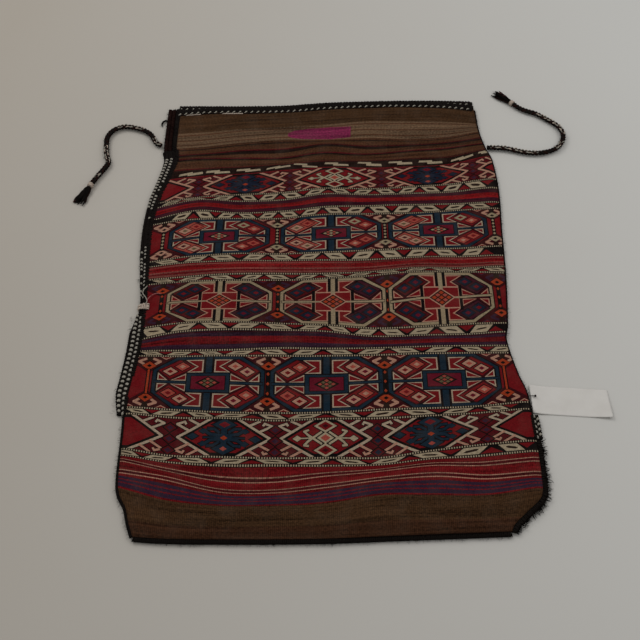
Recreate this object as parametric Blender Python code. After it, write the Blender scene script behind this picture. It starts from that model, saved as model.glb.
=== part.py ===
"""Kilim saddle bag: one flat woven pouch lying on its back, its mouth at the far end.

The origin is the middle of the underside, +X runs to the right along the bands, +Y runs
up the bag to its mouth and +Z is up. All lengths are in metres.
"""

import bmesh
import bpy
from math import cos, pi, sin
from mathutils import Vector

# Driving dimensions of the cloth
BAG_WIDTH = 0.611
PANEL_LENGTH = 0.868
FRONT_THICKNESS = 0.0034
BACK_THICKNESS = 0.0026
BROCADE_RELIEF = 0.0006
PUFF_HEIGHT = 0.0100
MOUTH_SHARE_OF_PUFF = 0.75
FOLD_HEIGHT = 0.0012
BACK_LIP_LENGTH = 0.0160
TOUCH_GAP = 0.0004
GROUND_GAP = 0.0002
CORNER_GAP = 0.0008
PANEL_COLUMNS = 26

# Driving dimensions of the seams
BRAID_HEIGHT = 0.0072
BRAID_PITCH = 0.0100
SELVEDGE_WIDTH = 0.0255
UPPER_BRAID_TOP_WIDTH = 0.0300
UPPER_BRAID_WIDTH = 0.0140
MIDDLE_BRAID_WIDTH = 0.0100
LOWER_BRAID_WIDTH = 0.0205
STUB_BRAID_WIDTH = 0.0110
CORNER_WRAP_WIDTH = 0.0040
SIDE_SEAM_WIDTH = 0.0022
FUZZY_BINDING_WIDTH = 0.0085
TURN_SWELL = 0.0007
BOTTOM_BINDING_WIDTH = 0.0065
MOUTH_BRAID_WIDTH = 0.0120
MOUTH_BRAID_HEIGHT = 0.0050
BACK_BRAID_HEIGHT = 0.0032
SEAM_END_GAP = 0.0004

# Driving dimensions of the ties, the repair and the ticket
CORD_DIAMETER = 0.0110
CORD_SEGMENTS = 2
WHIPPING_LENGTH = 0.0080
WHIPPING_DIAMETER = 0.0124
TASSEL_LENGTH = 0.0440
TASSEL_WIDTH = 0.0230
TASSEL_THICKNESS = 0.0110
REPAIR_STRAND = 0.0026
REPAIR_STRANDS = 3
REPAIR_REACH = 0.0130
TAG_LENGTH = 0.1180
TAG_WIDTH = 0.0500
TAG_THICKNESS = 0.0006
TAG_LIFT = 0.0030
TAG_LIFT_LENGTH = 0.0350
TAG_SLANT = 0.04
FASTENER_STEM_DIAMETER = 0.0012
FASTENER_REACH = 0.0050
FASTENER_HEAD_DIAMETER = 0.0040

# Bands of the front panel from the bottom edge to the mouth: name, share of the panel's
# length in parts, rows, kind
BANDS = (
    ("hem_field", 49.0, 5, "plain"),
    ("fine_stripes", 26.5, 1, "plain"),
    ("red_stripes", 29.5, 1, "plain"),
    ("lowest_leaf_border", 14.0, 1, "leaf"),
    ("lower_hooked_band", 64.0, 3, "hooked"),
    ("second_leaf_border", 13.0, 1, "leaf"),
    ("lower_blue_band", 99.0, 4, "blue_octagon"),
    ("third_leaf_border", 16.0, 1, "leaf"),
    ("purple_stripe", 30.0, 1, "stripe"),
    ("fourth_leaf_border", 14.0, 1, "leaf"),
    ("cream_band", 93.0, 4, "cream_octagon"),
    ("fifth_leaf_border", 12.0, 1, "leaf"),
    ("pink_stripe", 26.0, 1, "stripe"),
    ("sixth_leaf_border", 18.0, 1, "leaf"),
    ("upper_blue_band", 84.0, 4, "blue_octagon"),
    ("seventh_leaf_border", 18.0, 1, "leaf"),
    ("red_stripe", 31.0, 1, "stripe"),
    ("top_leaf_border", 17.0, 1, "leaf"),
    ("upper_hooked_band", 56.0, 3, "hooked"),
    ("dash_row", 16.0, 1, "dash"),
    ("striped_field", 50.0, 2, "brown"),
    ("pale_field", 38.0, 2, "pale"),
    ("mouth_field", 54.0, 3, "brown"),
)
PARTS = sum(parts for _, parts, _, _ in BANDS)
BOTTOM_Y = -PANEL_LENGTH / 2
HALF_WIDTH = BAG_WIDTH / 2

# How far each side edge lies inside the widest line: share of the length, inset
LEFT_INSETS = (
    (0.000, 0.0380), (0.025, 0.0295), (0.055, 0.0215), (0.071, 0.0125), (0.095, 0.0070),
    (0.190, 0.0045), (0.246, 0.0025), (0.303, 0.0065), (0.367, 0.0105), (0.453, 0.0095),
    (0.533, 0.0055), (0.650, 0.0005), (0.729, 0.0055), (0.786, 0.0175), (0.849, 0.0300),
    (0.890, 0.0265), (1.000, 0.0255),
)
RIGHT_INSETS = (
    (0.000, 0.0560), (0.022, 0.0500), (0.048, 0.0270), (0.070, 0.0070), (0.095, 0.0020),
    (0.189, 0.0015), (0.270, 0.0050), (0.310, 0.0145), (0.384, 0.0250), (0.418, 0.0195),
    (0.533, 0.0105), (0.648, 0.0055), (0.763, 0.0000), (0.850, 0.0035), (0.885, 0.0120),
    (0.936, 0.0195), (1.000, 0.0215),
)

# How the weft bows across the bag at nine places from left to right: share of the
# length, then the rise at each place against the middle of the bag
WEFT_BOWS = (
    (0.000, (0.006, 0.001, 0.000, 0.000, 0.000, 0.003, 0.006, 0.009, 0.013)),
    (0.056, (0.027, 0.005, -0.003, -0.003, 0.000, 0.011, 0.011, 0.012, 0.026)),
    (0.130, (0.020, 0.005, 0.001, -0.001, 0.000, 0.000, 0.012, 0.020, 0.030)),
    (0.227, (0.013, 0.006, 0.003, 0.000, 0.000, 0.004, 0.007, 0.012, 0.020)),
    (0.350, (0.002, 0.000, 0.000, 0.000, 0.000, 0.000, 0.002, 0.004, 0.010)),
    (0.400, (-0.004, 0.004, 0.007, 0.004, 0.000, -0.006, -0.004, 0.001, 0.006)),
    (0.520, (-0.009, -0.006, -0.002, -0.004, 0.000, 0.004, 0.013, 0.012, 0.014)),
    (0.680, (-0.018, -0.009, -0.010, -0.010, 0.000, 0.001, 0.003, 0.011, 0.022)),
    (0.735, (-0.024, -0.011, -0.017, -0.014, 0.000, -0.002, 0.002, 0.009, 0.027)),
    (0.818, (-0.031, -0.022, -0.019, -0.010, 0.000, -0.003, -0.001, 0.007, 0.033)),
    (0.895, (-0.018, -0.017, -0.010, -0.005, 0.000, 0.004, 0.000, 0.008, 0.022)),
    (1.000, (-0.009, -0.009, -0.009, -0.007, 0.000, 0.005, 0.007, 0.007, 0.004)),
)

# Where the seams change along the sides: distance up from the bottom edge
LEFT_WRAP_END = 0.192
LOWER_BRAID_END = 0.378
MIDDLE_BRAID_END = 0.438
SELVEDGE_START = 0.762
STUB_START = 0.151
STUB_END = 0.195
REPAIR_ABOVE_BRAID = 0.015
REPAIR_HEIGHT = LOWER_BRAID_END + REPAIR_ABOVE_BRAID
TAG_HEIGHT = 0.2245
FASTENER_HEIGHT = 0.229

# The two ties lie on the ground: how far up the bag each leaves its edge, and its route
# from there to the tassel, chosen by hand
LEFT_CORD_HEIGHT = 0.776
LEFT_CORD_ROUTE = (
    (0.000, 0.000), (-0.006, 0.001), (-0.014, 0.011), (-0.025, 0.031), (-0.046, 0.044),
    (-0.069, 0.050), (-0.084, 0.048), (-0.097, 0.038), (-0.104, 0.021), (-0.103, -0.003),
    (-0.099, -0.026), (-0.093, -0.046), (-0.099, -0.063), (-0.109, -0.083), (-0.116, -0.100),
)
RIGHT_CORD_HEIGHT = 0.769
RIGHT_CORD_ROUTE = (
    (0.000, 0.000), (0.014, 0.000), (0.034, -0.002), (0.067, -0.012), (0.094, -0.014),
    (0.121, -0.006), (0.138, 0.011), (0.146, 0.035), (0.140, 0.058), (0.121, 0.078),
    (0.101, 0.095), (0.087, 0.101), (0.074, 0.109), (0.063, 0.121),
)
CORD_POINT_SPACING = 0.0065

# Colours: name, red, green, blue, roughness
COLOURS = {
    "brown_wool": (0.105, 0.060, 0.036, 0.92),
    "pale_wool": (0.265, 0.195, 0.135, 0.92),
    "red_wool": (0.285, 0.026, 0.030, 0.90),
    "purple_wool": (0.120, 0.030, 0.060, 0.90),
    "pink_wool": (0.420, 0.120, 0.110, 0.90),
    "navy_wool": (0.030, 0.060, 0.120, 0.90),
    "cream_wool": (0.560, 0.455, 0.320, 0.92),
    "magenta_wool": (0.300, 0.025, 0.110, 0.90),
    "goat_hair": (0.022, 0.018, 0.016, 0.88),
    "white_cotton": (0.600, 0.560, 0.500, 0.92),
    "ticket_paper": (0.780, 0.780, 0.770, 0.85),
    "fastener_plastic": (0.030, 0.020, 0.018, 0.50),
}


def clear_scene():
    """Take every object out of the open scene."""
    for thing in list(bpy.data.objects):
        bpy.data.objects.remove(thing, do_unlink=True)


def make_material(name):
    """One plain dyed colour with its roughness."""
    red, green, blue, roughness = COLOURS[name]
    material = bpy.data.materials.new(name)
    material.use_nodes = True
    shader = material.node_tree.nodes["Principled BSDF"]
    shader.inputs["Base Color"].default_value = (red, green, blue, 1.0)
    shader.inputs["Roughness"].default_value = roughness
    shader.inputs["Metallic"].default_value = 0.0
    material.diffuse_color = (red, green, blue, 1.0)
    return material


def smooth_between(table, place):
    """Smooth curve through the entries of a (place, value) table."""
    if place <= table[0][0]:
        return table[0][1]
    last = len(table) - 1
    for index in range(last):
        (low, first), (high, second) = table[index], table[index + 1]
        if place > high:
            continue
        before, after = table[max(index - 1, 0)], table[min(index + 2, last)]
        span = high - low
        slope_in = (second - before[1]) / (high - before[0]) * span
        slope_out = (after[1] - first) / (after[0] - low) * span
        t = (place - low) / span
        return (first * (2 * t ** 3 - 3 * t ** 2 + 1) + slope_in * (t ** 3 - 2 * t ** 2 + t)
                + second * (3 * t ** 2 - 2 * t ** 3) + slope_out * (t ** 3 - t ** 2))
    return table[-1][1]


def weft_bow(u, share):
    """Rise of one weft line at u (0 left, 1 right), at a share of the length."""
    places = len(WEFT_BOWS[0][1]) - 1
    column = [(row_share, smooth_between([(i / places, rise) for i, rise in enumerate(rises)], u))
              for row_share, rises in WEFT_BOWS]
    return smooth_between(column, share)


def cloth_xy(u, distance):
    """Ground position of the cloth at u and at a distance up from the bottom edge."""
    share = distance / PANEL_LENGTH
    y = BOTTOM_Y + distance + weft_bow(u, share)
    edge_share = min(max((y - BOTTOM_Y) / PANEL_LENGTH, 0.0), 1.0)
    left = -HALF_WIDTH + smooth_between(LEFT_INSETS, edge_share)
    right = HALF_WIDTH - smooth_between(RIGHT_INSETS, edge_share)
    return left + (right - left) * u, y


def hollow_height(u, share):
    """Air between the two panels: none at the sides and bottom, open at the mouth."""
    across = 1 - abs(2 * u - 1) ** 5
    from_bottom = 1 - max(0.0, 1 - share / 0.12) ** 3
    to_mouth = smooth_between(((0.78, 1.0), (1.0, MOUTH_SHARE_OF_PUFF)), share)
    folds = (0.5 * sin(9.0 * u + 21.0 * share) + 0.5 * sin(5.0 - 7.0 * u + 34.0 * share))
    return across * from_bottom * (PUFF_HEIGHT * to_mouth + FOLD_HEIGHT * folds)


def panel_distances():
    """Distance up the bag of every row of the front panel, with the band it starts."""
    rows, distance = [], 0.0
    for _, parts, count, kind in BANDS:
        width = PANEL_LENGTH * parts / PARTS
        for step in range(count):
            rows.append((distance + width * step / count, kind))
        distance += width
    rows.append((distance, BANDS[-1][3]))
    return rows


ROWS = panel_distances()
RELIEF_KINDS = ("leaf", "hooked", "blue_octagon", "cream_octagon", "dash")
FRONT_UNDERSIDE = BACK_THICKNESS + TOUCH_GAP


def outline_points(side):
    """The shared side edge of both panels, from the bottom corner to the mouth."""
    u = 0.0 if side == "left" else 1.0
    return [Vector((*cloth_xy(u, distance), 0.0)) for distance, _ in ROWS]


def band_colour(kind, u, rise):
    """Colour of one field of a band, at u and at a rise of 0 to 1 through the band."""
    repeat = abs((u * 3.3 + 0.16) % 1.1 - 0.55) / 0.55
    if kind == "leaf":
        return "cream_wool" if int(u * PANEL_COLUMNS) % 2 else "red_wool"
    if kind == "dash":
        return "cream_wool" if int(u * PANEL_COLUMNS) % 3 else "goat_hair"
    if kind in ("blue_octagon", "cream_octagon"):
        ring = "navy_wool" if kind == "blue_octagon" else "cream_wool"
        if 0.62 < repeat < 0.84 or repeat < 0.14:
            return ring
        return ring if rise < 0.25 or rise > 0.75 and repeat < 0.62 else "red_wool"
    if kind == "hooked":
        return "navy_wool" if repeat + abs(rise - 0.5) < 0.45 else "red_wool"
    return {"plain": "red_wool", "stripe": "purple_wool", "brown": "brown_wool",
            "pale": "pale_wool"}[kind]


def face_colour(u, distance, kind):
    """Colour of the cloth, with the bright block woven into the pale field."""
    band_low = 0.0
    for name, parts, _, _ in BANDS:
        width = PANEL_LENGTH * parts / PARTS
        if distance < band_low + width:
            break
        band_low += width
    if name == "hem_field":
        return "brown_wool"
    if name == "pale_field" and abs(u - 0.48) < 0.09:
        return "magenta_wool"
    if name == "pink_stripe":
        return "pink_wool"
    if name == "fine_stripes":
        return "navy_wool"
    return band_colour(kind, u, (distance - band_low) / width)


def link_object(name, mesh, material_names):
    """Put a finished mesh into the scene with its colours."""
    thing = bpy.data.objects.new(name, mesh)
    for material_name in material_names:
        mesh.materials.append(MATERIALS[material_name])
    bpy.context.scene.collection.objects.link(thing)
    return thing


def finish_mesh(name, bm, material_names, smooth_angle=0.7):
    """Turn a bmesh into an object whose faces point outwards."""
    bmesh.ops.recalc_face_normals(bm, faces=bm.faces)
    mesh = bpy.data.meshes.new(name)
    bm.to_mesh(mesh)
    bm.free()
    thing = link_object(name, mesh, material_names)
    mesh.shade_smooth()
    mesh.set_sharp_from_angle(angle=smooth_angle)
    return thing


def make_front_panel():
    """Brocaded front: a grid whose rows follow the bands, bowed, puffed and folded."""
    names = list(COLOURS)
    rows = len(ROWS) - 1
    bm = bmesh.new()
    bmesh.ops.create_grid(bm, x_segments=PANEL_COLUMNS, y_segments=rows, size=1.0)
    for face in bm.faces:
        centre = face.calc_center_median()
        u = (centre.x + 1) / 2
        row = int((centre.y + 1) / 2 * rows)
        middle = (ROWS[row][0] + ROWS[row + 1][0]) / 2
        face.material_index = names.index(face_colour(u, middle, ROWS[row][1]))
    for vert in bm.verts:
        u = (vert.co.x + 1) / 2
        row = round((vert.co.y + 1) / 2 * rows)
        distance = ROWS[row][0]
        kinds = {ROWS[row][1], ROWS[max(row - 1, 0)][1]}
        relief = BROCADE_RELIEF if kinds <= set(RELIEF_KINDS) else 0.0
        x, y = cloth_xy(u, distance)
        z = FRONT_UNDERSIDE + FRONT_THICKNESS + relief + hollow_height(u, distance / PANEL_LENGTH)
        vert.co = (x, y, z)
    extruded = bmesh.ops.extrude_face_region(bm, geom=list(bm.faces), use_keep_orig=True)
    underside = [vert for vert in extruded["geom"] if isinstance(vert, bmesh.types.BMVert)]
    bmesh.ops.translate(bm, verts=underside, vec=(0, 0, -FRONT_THICKNESS))
    return finish_mesh("front_panel", bm, names)


def lip_points(height_at):
    """The front panel's mouth edge from left to right, at a given height."""
    points = []
    for column in range(PANEL_COLUMNS + 1):
        u = column / PANEL_COLUMNS
        x, y = cloth_xy(u, PANEL_LENGTH)
        points.append(Vector((x, y, height_at(u))))
    return points


def make_back_panel():
    """Plain striped back: the same outline, flat, with a lip past the front's mouth."""
    left, right = outline_points("left"), outline_points("right")
    bottom = [Vector((*cloth_xy(column / PANEL_COLUMNS, 0.0), 0.0))
              for column in range(1, PANEL_COLUMNS)]
    lip = [point + Vector((0, BACK_LIP_LENGTH, 0)) for point in lip_points(lambda u: 0.0)]
    ring = bottom + right + list(reversed(lip)) + list(reversed(left))
    bm = bmesh.new()
    verts = [bm.verts.new(point) for point in ring]
    face = bm.faces.new(verts)
    raised = bmesh.ops.extrude_face_region(bm, geom=[face], use_keep_orig=True)
    lifted = [vert for vert in raised["geom"] if isinstance(vert, bmesh.types.BMVert)]
    bmesh.ops.translate(bm, verts=lifted, vec=(0, 0, BACK_THICKNESS))
    return finish_mesh("back_panel", bm, ["brown_wool"])


def measure(points):
    """Running length along a list of points."""
    lengths = [0.0]
    for first, second in zip(points, points[1:]):
        lengths.append(lengths[-1] + (second - first).length)
    return lengths


def point_at(points, lengths, distance):
    """Point and direction at a running length along straight stretches."""
    for index in range(len(points) - 1):
        if distance <= lengths[index + 1] or index == len(points) - 2:
            step = points[index + 1] - points[index]
            share = (distance - lengths[index]) / step.length
            return points[index] + step * share, step.normalized()
    raise ValueError("no points")


def resample(points, start, end, spacing):
    """Evenly spaced places between two running lengths."""
    lengths = measure(points)
    count = max(2, round((end - start) / spacing))
    places = []
    for index in range(count + 1):
        distance = start + (end - start) * index / count
        low, _ = point_at(points, lengths, max(distance - spacing / 2, 0.0))
        high, _ = point_at(points, lengths, min(distance + spacing / 2, lengths[-1]))
        here, _ = point_at(points, lengths, distance)
        places.append((here, (high - low).normalized()))
    return places


def height_up(points, distance_up):
    """Running length of an outline at a height above the bag's bottom edge."""
    lengths = measure(points)
    for index in range(len(points) - 1):
        low, high = points[index].y - BOTTOM_Y, points[index + 1].y - BOTTOM_Y
        if low <= distance_up <= high:
            return lengths[index] + (distance_up - low) / (high - low) * (
                lengths[index + 1] - lengths[index])
    return lengths[-1]


def outermost_edge(side, height, width):
    """Farthest x that an outline reaches beside a piece of some width, and the y there."""
    points = outline_points(side)
    lengths = measure(points)
    nearby = [point_at(points, lengths, height_up(points, height + width * share))[0]
              for share in (-0.6, -0.3, 0.0, 0.3, 0.6)]
    outermost = max(nearby, key=lambda point: abs(point.x))
    return outermost.x, nearby[2].y


def roll_tube(name, rings, material_names, smooth_angle=0.7):
    """Close a stack of equal rings of points into one capped body."""
    sides = len(rings[0])
    steps = len(rings) - 1
    bm = bmesh.new()
    bmesh.ops.create_grid(bm, x_segments=sides, y_segments=steps, size=1.0)
    for vert in bm.verts:
        place = round((vert.co.x + 1) / 2 * sides) % sides
        ring = round((vert.co.y + 1) / 2 * steps)
        vert.co = rings[ring][place]
    bmesh.ops.remove_doubles(bm, verts=bm.verts, dist=0.0000001)
    rim = [edge for edge in bm.edges if edge.is_boundary]
    bmesh.ops.holes_fill(bm, edges=rim, sides=0)
    return finish_mesh(name, bm, material_names, smooth_angle)


def braid_ring(here, outward, width, lean):
    """Section of a two-column chain braid that stands against the panels' edge."""
    crowns = (1.0, 0.80) if lean else (0.80, 1.0)
    outline = ((0.0, 0.04), (0.97, 0.04), (1.0, 0.55), (0.74, crowns[0]), (0.50, 0.72),
               (0.26, crowns[1]), (0.0, 0.86))
    ring = []
    for across, up in outline:
        point = here + outward * (TOUCH_GAP + across * width)
        ring.append(Vector((point.x, point.y, up * BRAID_HEIGHT)))
    return ring


def wrap_ring(here, outward, width, swell):
    """Section of an overcast wrapping, fatter where a turn of yarn passes."""
    outline = ((0.0, 0.04, 0.0, 0.0), (0.92, 0.04, 0.0, 0.0), (1.0, 0.45, swell, 0.0),
               (0.80, 0.86, 0.0, swell), (0.0, 0.90, 0.0, swell))
    ring = []
    for across, up, bulge, lift in outline:
        point = here + outward * (CORNER_GAP + across * width + bulge)
        ring.append(Vector((point.x, point.y, up * BRAID_HEIGHT + lift)))
    return ring


def side_strip(name, points, start, end, widths, ring_kind, turn, spacing):
    """A braid or wrapping along an outline, between two running lengths."""
    rings = []
    places = resample(points, start, end, spacing)
    for index, (here, direction) in enumerate(places):
        outward = Vector((direction.y, -direction.x, 0)) * turn
        width = smooth_between(widths, index / (len(places) - 1))
        if ring_kind == "braid":
            rings.append(braid_ring(here, outward, width, index % 2))
        else:
            rings.append(wrap_ring(here, outward, width, TURN_SWELL * (index % 2)))
    return roll_tube(name, rings, ["goat_hair"])


def even(width):
    """A strip of one width from end to end."""
    return ((0.0, width), (1.0, width))


def make_left_seams():
    """Wrapping, three lengths of chain braid and the broad selvedge up the left side."""
    points = outline_points("left")
    top_point = points[-1] + Vector((0, BACK_LIP_LENGTH, 0))
    points = points + [top_point]
    low = TOUCH_GAP
    marks = [low] + [height_up(points, mark) for mark in (
        LEFT_WRAP_END, LOWER_BRAID_END, MIDDLE_BRAID_END, SELVEDGE_START)]
    marks.append(measure(points)[-1])
    half_pitch = BRAID_PITCH / 2
    swelling = ((0.0, LOWER_BRAID_WIDTH * 0.6), (0.25, LOWER_BRAID_WIDTH),
                (0.8, LOWER_BRAID_WIDTH), (1.0, MIDDLE_BRAID_WIDTH))
    pinched = ((0.0, MIDDLE_BRAID_WIDTH), (0.35, MIDDLE_BRAID_WIDTH * 0.6),
               (1.0, MIDDLE_BRAID_WIDTH))
    widening = ((0.0, MIDDLE_BRAID_WIDTH), (0.2, UPPER_BRAID_WIDTH), (0.55, UPPER_BRAID_WIDTH),
                (1.0, UPPER_BRAID_TOP_WIDTH))
    stretches = (
        ("left_corner_wrap", even(CORNER_WRAP_WIDTH), "wrap"),
        ("left_braid_lower", swelling, "braid"),
        ("left_braid_middle", pinched, "braid"),
        ("left_braid_upper", widening, "braid"),
        ("left_selvedge_wrap", even(SELVEDGE_WIDTH), "wrap"),
    )
    for (name, widths, kind), start, end in zip(stretches, marks, marks[1:]):
        side_strip(name, points, start + SEAM_END_GAP, end, widths, kind, -1, half_pitch)


def make_right_seams():
    """Fuzzy corner binding, a stub of chain braid and the thin seam up the right side."""
    points = outline_points("right")
    stub_start = height_up(points, STUB_START)
    stub_end = height_up(points, STUB_END)
    half_pitch = BRAID_PITCH / 2
    side_strip("right_corner_binding", points, TOUCH_GAP, stub_start, even(FUZZY_BINDING_WIDTH),
               "wrap", 1, half_pitch)
    side_strip("right_braid_stub", points, stub_start + SEAM_END_GAP, stub_end,
               even(STUB_BRAID_WIDTH), "braid", 1, half_pitch)
    side_strip("right_side_seam", points, stub_end + SEAM_END_GAP, measure(points)[-1],
               even(SIDE_SEAM_WIDTH), "wrap", 1, BRAID_PITCH)


def make_bottom_binding():
    """Dark overcast binding along the bottom edge, from corner to corner."""
    points = [Vector((*cloth_xy(column / PANEL_COLUMNS, 0.0), 0.0))
              for column in range(PANEL_COLUMNS + 1)]
    length = measure(points)[-1]
    side_strip("bottom_binding", points, SEAM_END_GAP, length - SEAM_END_GAP,
               even(BOTTOM_BINDING_WIDTH), "wrap", 1, BRAID_PITCH)


def mouth_braid(name, points, width, height):
    """A chain of loops along one lip of the mouth, standing out past the cloth."""
    rings = []
    for index, (here, direction) in enumerate(
            resample(points, SEAM_END_GAP, measure(points)[-1] - SEAM_END_GAP,
                     BRAID_PITCH / 2)):
        outward = Vector((-direction.y, direction.x, 0)).normalized()
        crown = 1.0 if index % 2 else 0.80
        outline = ((0.0, 0.0), (0.95, 0.0), (1.0, 0.55), (0.55, crown), (0.0, 0.84))
        ring = []
        for across, up in outline:
            point = here + outward * (TOUCH_GAP + across * width)
            ring.append(Vector((point.x, point.y, here.z + up * height)))
        rings.append(ring)
    return roll_tube(name, rings, ["goat_hair"])


def make_mouth_braids():
    """The chain on the front lip and the lower chain on the back lip."""
    front = lip_points(lambda u: FRONT_UNDERSIDE + hollow_height(u, 1.0))
    mouth_braid("mouth_braid_front", front, MOUTH_BRAID_WIDTH, MOUTH_BRAID_HEIGHT)
    back = [point + Vector((0, BACK_LIP_LENGTH, 0)) for point in lip_points(lambda u: 0.0)]
    mouth_braid("mouth_braid_back", back, MOUTH_BRAID_WIDTH, BACK_BRAID_HEIGHT)


def smooth_route(route, spacing, height):
    """Evenly spaced points on one smooth curve through a hand-chosen route."""
    knots = [Vector((x, y, height)) for x, y in route]
    knots = [knots[0] * 2 - knots[1]] + knots + [knots[-1] * 2 - knots[-2]]
    fine = []
    for before, first, second, after in zip(knots, knots[1:], knots[2:], knots[3:]):
        for step in range(12):
            t = step / 12
            fine.append(0.5 * ((first * 2) + (second - before) * t
                               + (before * 2 - first * 5 + second * 4 - after) * t ** 2
                               + (first * 3 - before - second * 3 + after) * t ** 3))
    fine.append(knots[-2])
    lengths = measure(fine)
    count = round(lengths[-1] / spacing)
    return [point_at(fine, lengths, lengths[-1] * index / count)[0] for index in range(count + 1)]


def make_cord(name, points):
    """A round plaited tie as a tube with filled ends."""
    curve = bpy.data.curves.new(name, "CURVE")
    curve.dimensions = "3D"
    curve.bevel_depth = CORD_DIAMETER / 2
    curve.bevel_resolution = CORD_SEGMENTS
    curve.use_fill_caps = True
    spline = curve.splines.new("POLY")
    spline.points.add(len(points) - 1)
    for target, point in zip(spline.points, points):
        target.co = (*point, 1.0)
    curve.materials.append(MATERIALS["goat_hair"])
    thing = bpy.data.objects.new(name, curve)
    bpy.context.scene.collection.objects.link(thing)
    return thing


def turned_piece(name, start, direction, sections, sides, material_names):
    """A lying round piece: sections are (distance, half width, half thickness, flute)."""
    across = Vector((-direction.y, direction.x, 0))
    rings = []
    for distance, half_width, half_thickness, flute in sections:
        ring = []
        for side in range(sides):
            angle = 2 * pi * side / sides
            swell = 1 - flute if side % 2 else 1.0
            ring.append(start + direction * distance
                        + across * (cos(angle) * half_width * swell)
                        + Vector((0, 0, half_thickness * (1 + sin(angle) * swell) + GROUND_GAP)))
        rings.append(ring)
    return roll_tube(name, rings, material_names)


def make_tie(side, height, seam_width, route):
    """A tie of plaited cord, its whipping and the tassel of its own loose ends."""
    radius = CORD_DIAMETER / 2
    edge_x, edge_y = outermost_edge(side, height, CORD_DIAMETER)
    reach = CORNER_GAP + seam_width + TURN_SWELL + TOUCH_GAP
    leave = edge_x + reach if side == "right" else edge_x - reach
    ground_route = [(leave + x, edge_y + y) for x, y in route]
    points = smooth_route(ground_route, CORD_POINT_SPACING, radius + GROUND_GAP)
    make_cord(side + "_tie_cord", points)
    direction = (points[-1] - points[-2]).normalized()
    ground = Vector((points[-1].x, points[-1].y, 0))
    whipping = WHIPPING_DIAMETER / 2
    start = ground + direction * TOUCH_GAP
    turned_piece(side + "_cord_whipping", start, direction, (
        (0.0, radius, radius, 0.0), (0.15 * WHIPPING_LENGTH, whipping, whipping, 0.0),
        (0.85 * WHIPPING_LENGTH, whipping, whipping, 0.0), (WHIPPING_LENGTH, radius, radius, 0.0),
    ), 10, ["white_cotton"])
    start = start + direction * (WHIPPING_LENGTH + TOUCH_GAP)
    half_width, half_thickness = TASSEL_WIDTH / 2, TASSEL_THICKNESS / 2
    turned_piece(side + "_cord_tassel", start, direction, (
        (0.0, radius, radius, 0.0), (0.25 * TASSEL_LENGTH, 0.66 * half_width, half_thickness, 0.06),
        (0.65 * TASSEL_LENGTH, 0.86 * half_width, 0.9 * half_thickness, 0.14),
        (TASSEL_LENGTH, half_width, 0.7 * half_thickness, 0.22),
    ), 12, ["goat_hair"])


def make_repair_tie():
    """Three turns of white cord that lash the seam where the braid has given way."""
    points = outline_points("left")
    lengths = measure(points)
    here, direction = point_at(points, lengths, height_up(points, REPAIR_HEIGHT))
    outward = Vector((-direction.y, direction.x, 0))
    along = Vector((direction.x, direction.y, 0))
    share = REPAIR_HEIGHT / PANEL_LENGTH
    panel_top = (FRONT_UNDERSIDE + FRONT_THICKNESS + BROCADE_RELIEF
                 + hollow_height(REPAIR_REACH / BAG_WIDTH, share))
    outer = MIDDLE_BRAID_WIDTH + 2 * TOUCH_GAP
    top = max(panel_top, BRAID_HEIGHT) + TOUCH_GAP
    path = ((-REPAIR_REACH, top, (0, 1)), (outer - REPAIR_STRAND, top, (0, 1)),
            (outer, top - REPAIR_STRAND * 0.3, (0.7, 0.7)), (outer, GROUND_GAP, (1, 0)))
    rings = []
    for across, height, (lean, rise) in path:
        ring = []
        for side in range(2 * REPAIR_STRANDS + 1):
            ridge = REPAIR_STRAND if side % 2 else 0.7 * REPAIR_STRAND
            place = (side / (2 * REPAIR_STRANDS) - 0.5) * REPAIR_STRAND * REPAIR_STRANDS
            ring.append(here + outward * (across + ridge * lean) + along * place
                        + Vector((0, 0, height + ridge * rise)))
        for place in (0.5, -0.5):
            ring.append(here + outward * across + along * place * REPAIR_STRAND * REPAIR_STRANDS
                        + Vector((0, 0, height)))
        rings.append(ring)
    return roll_tube("repair_tie", rings, ["white_cotton"])


def tag_height(distance):
    """Underside of the ticket: lifted where it is pinned, flat on the ground further out."""
    return TAG_LIFT * max(0.0, 1 - distance / TAG_LIFT_LENGTH) ** 2 + GROUND_GAP


def make_tag():
    """A blank paper ticket, lifted at its pinned end and lying flat beyond."""
    widest, middle = outermost_edge("right", TAG_HEIGHT, TAG_WIDTH)
    edge = widest + CORNER_GAP + SIDE_SEAM_WIDTH + TURN_SWELL + TOUCH_GAP
    bm = bmesh.new()
    bmesh.ops.create_grid(bm, x_segments=12, y_segments=2, size=1.0)
    for vert in bm.verts:
        along = (vert.co.x + 1) / 2 * TAG_LENGTH
        across = vert.co.y * TAG_WIDTH / 2
        vert.co = (edge + along, middle + across - TAG_SLANT * along,
                   tag_height(along) + TAG_THICKNESS)
    extruded = bmesh.ops.extrude_face_region(bm, geom=list(bm.faces), use_keep_orig=True)
    lower = [vert for vert in extruded["geom"] if isinstance(vert, bmesh.types.BMVert)]
    bmesh.ops.translate(bm, verts=lower, vec=(0, 0, -TAG_THICKNESS))
    finish_mesh("hang_tag", bm, ["ticket_paper"])
    return edge


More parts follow.
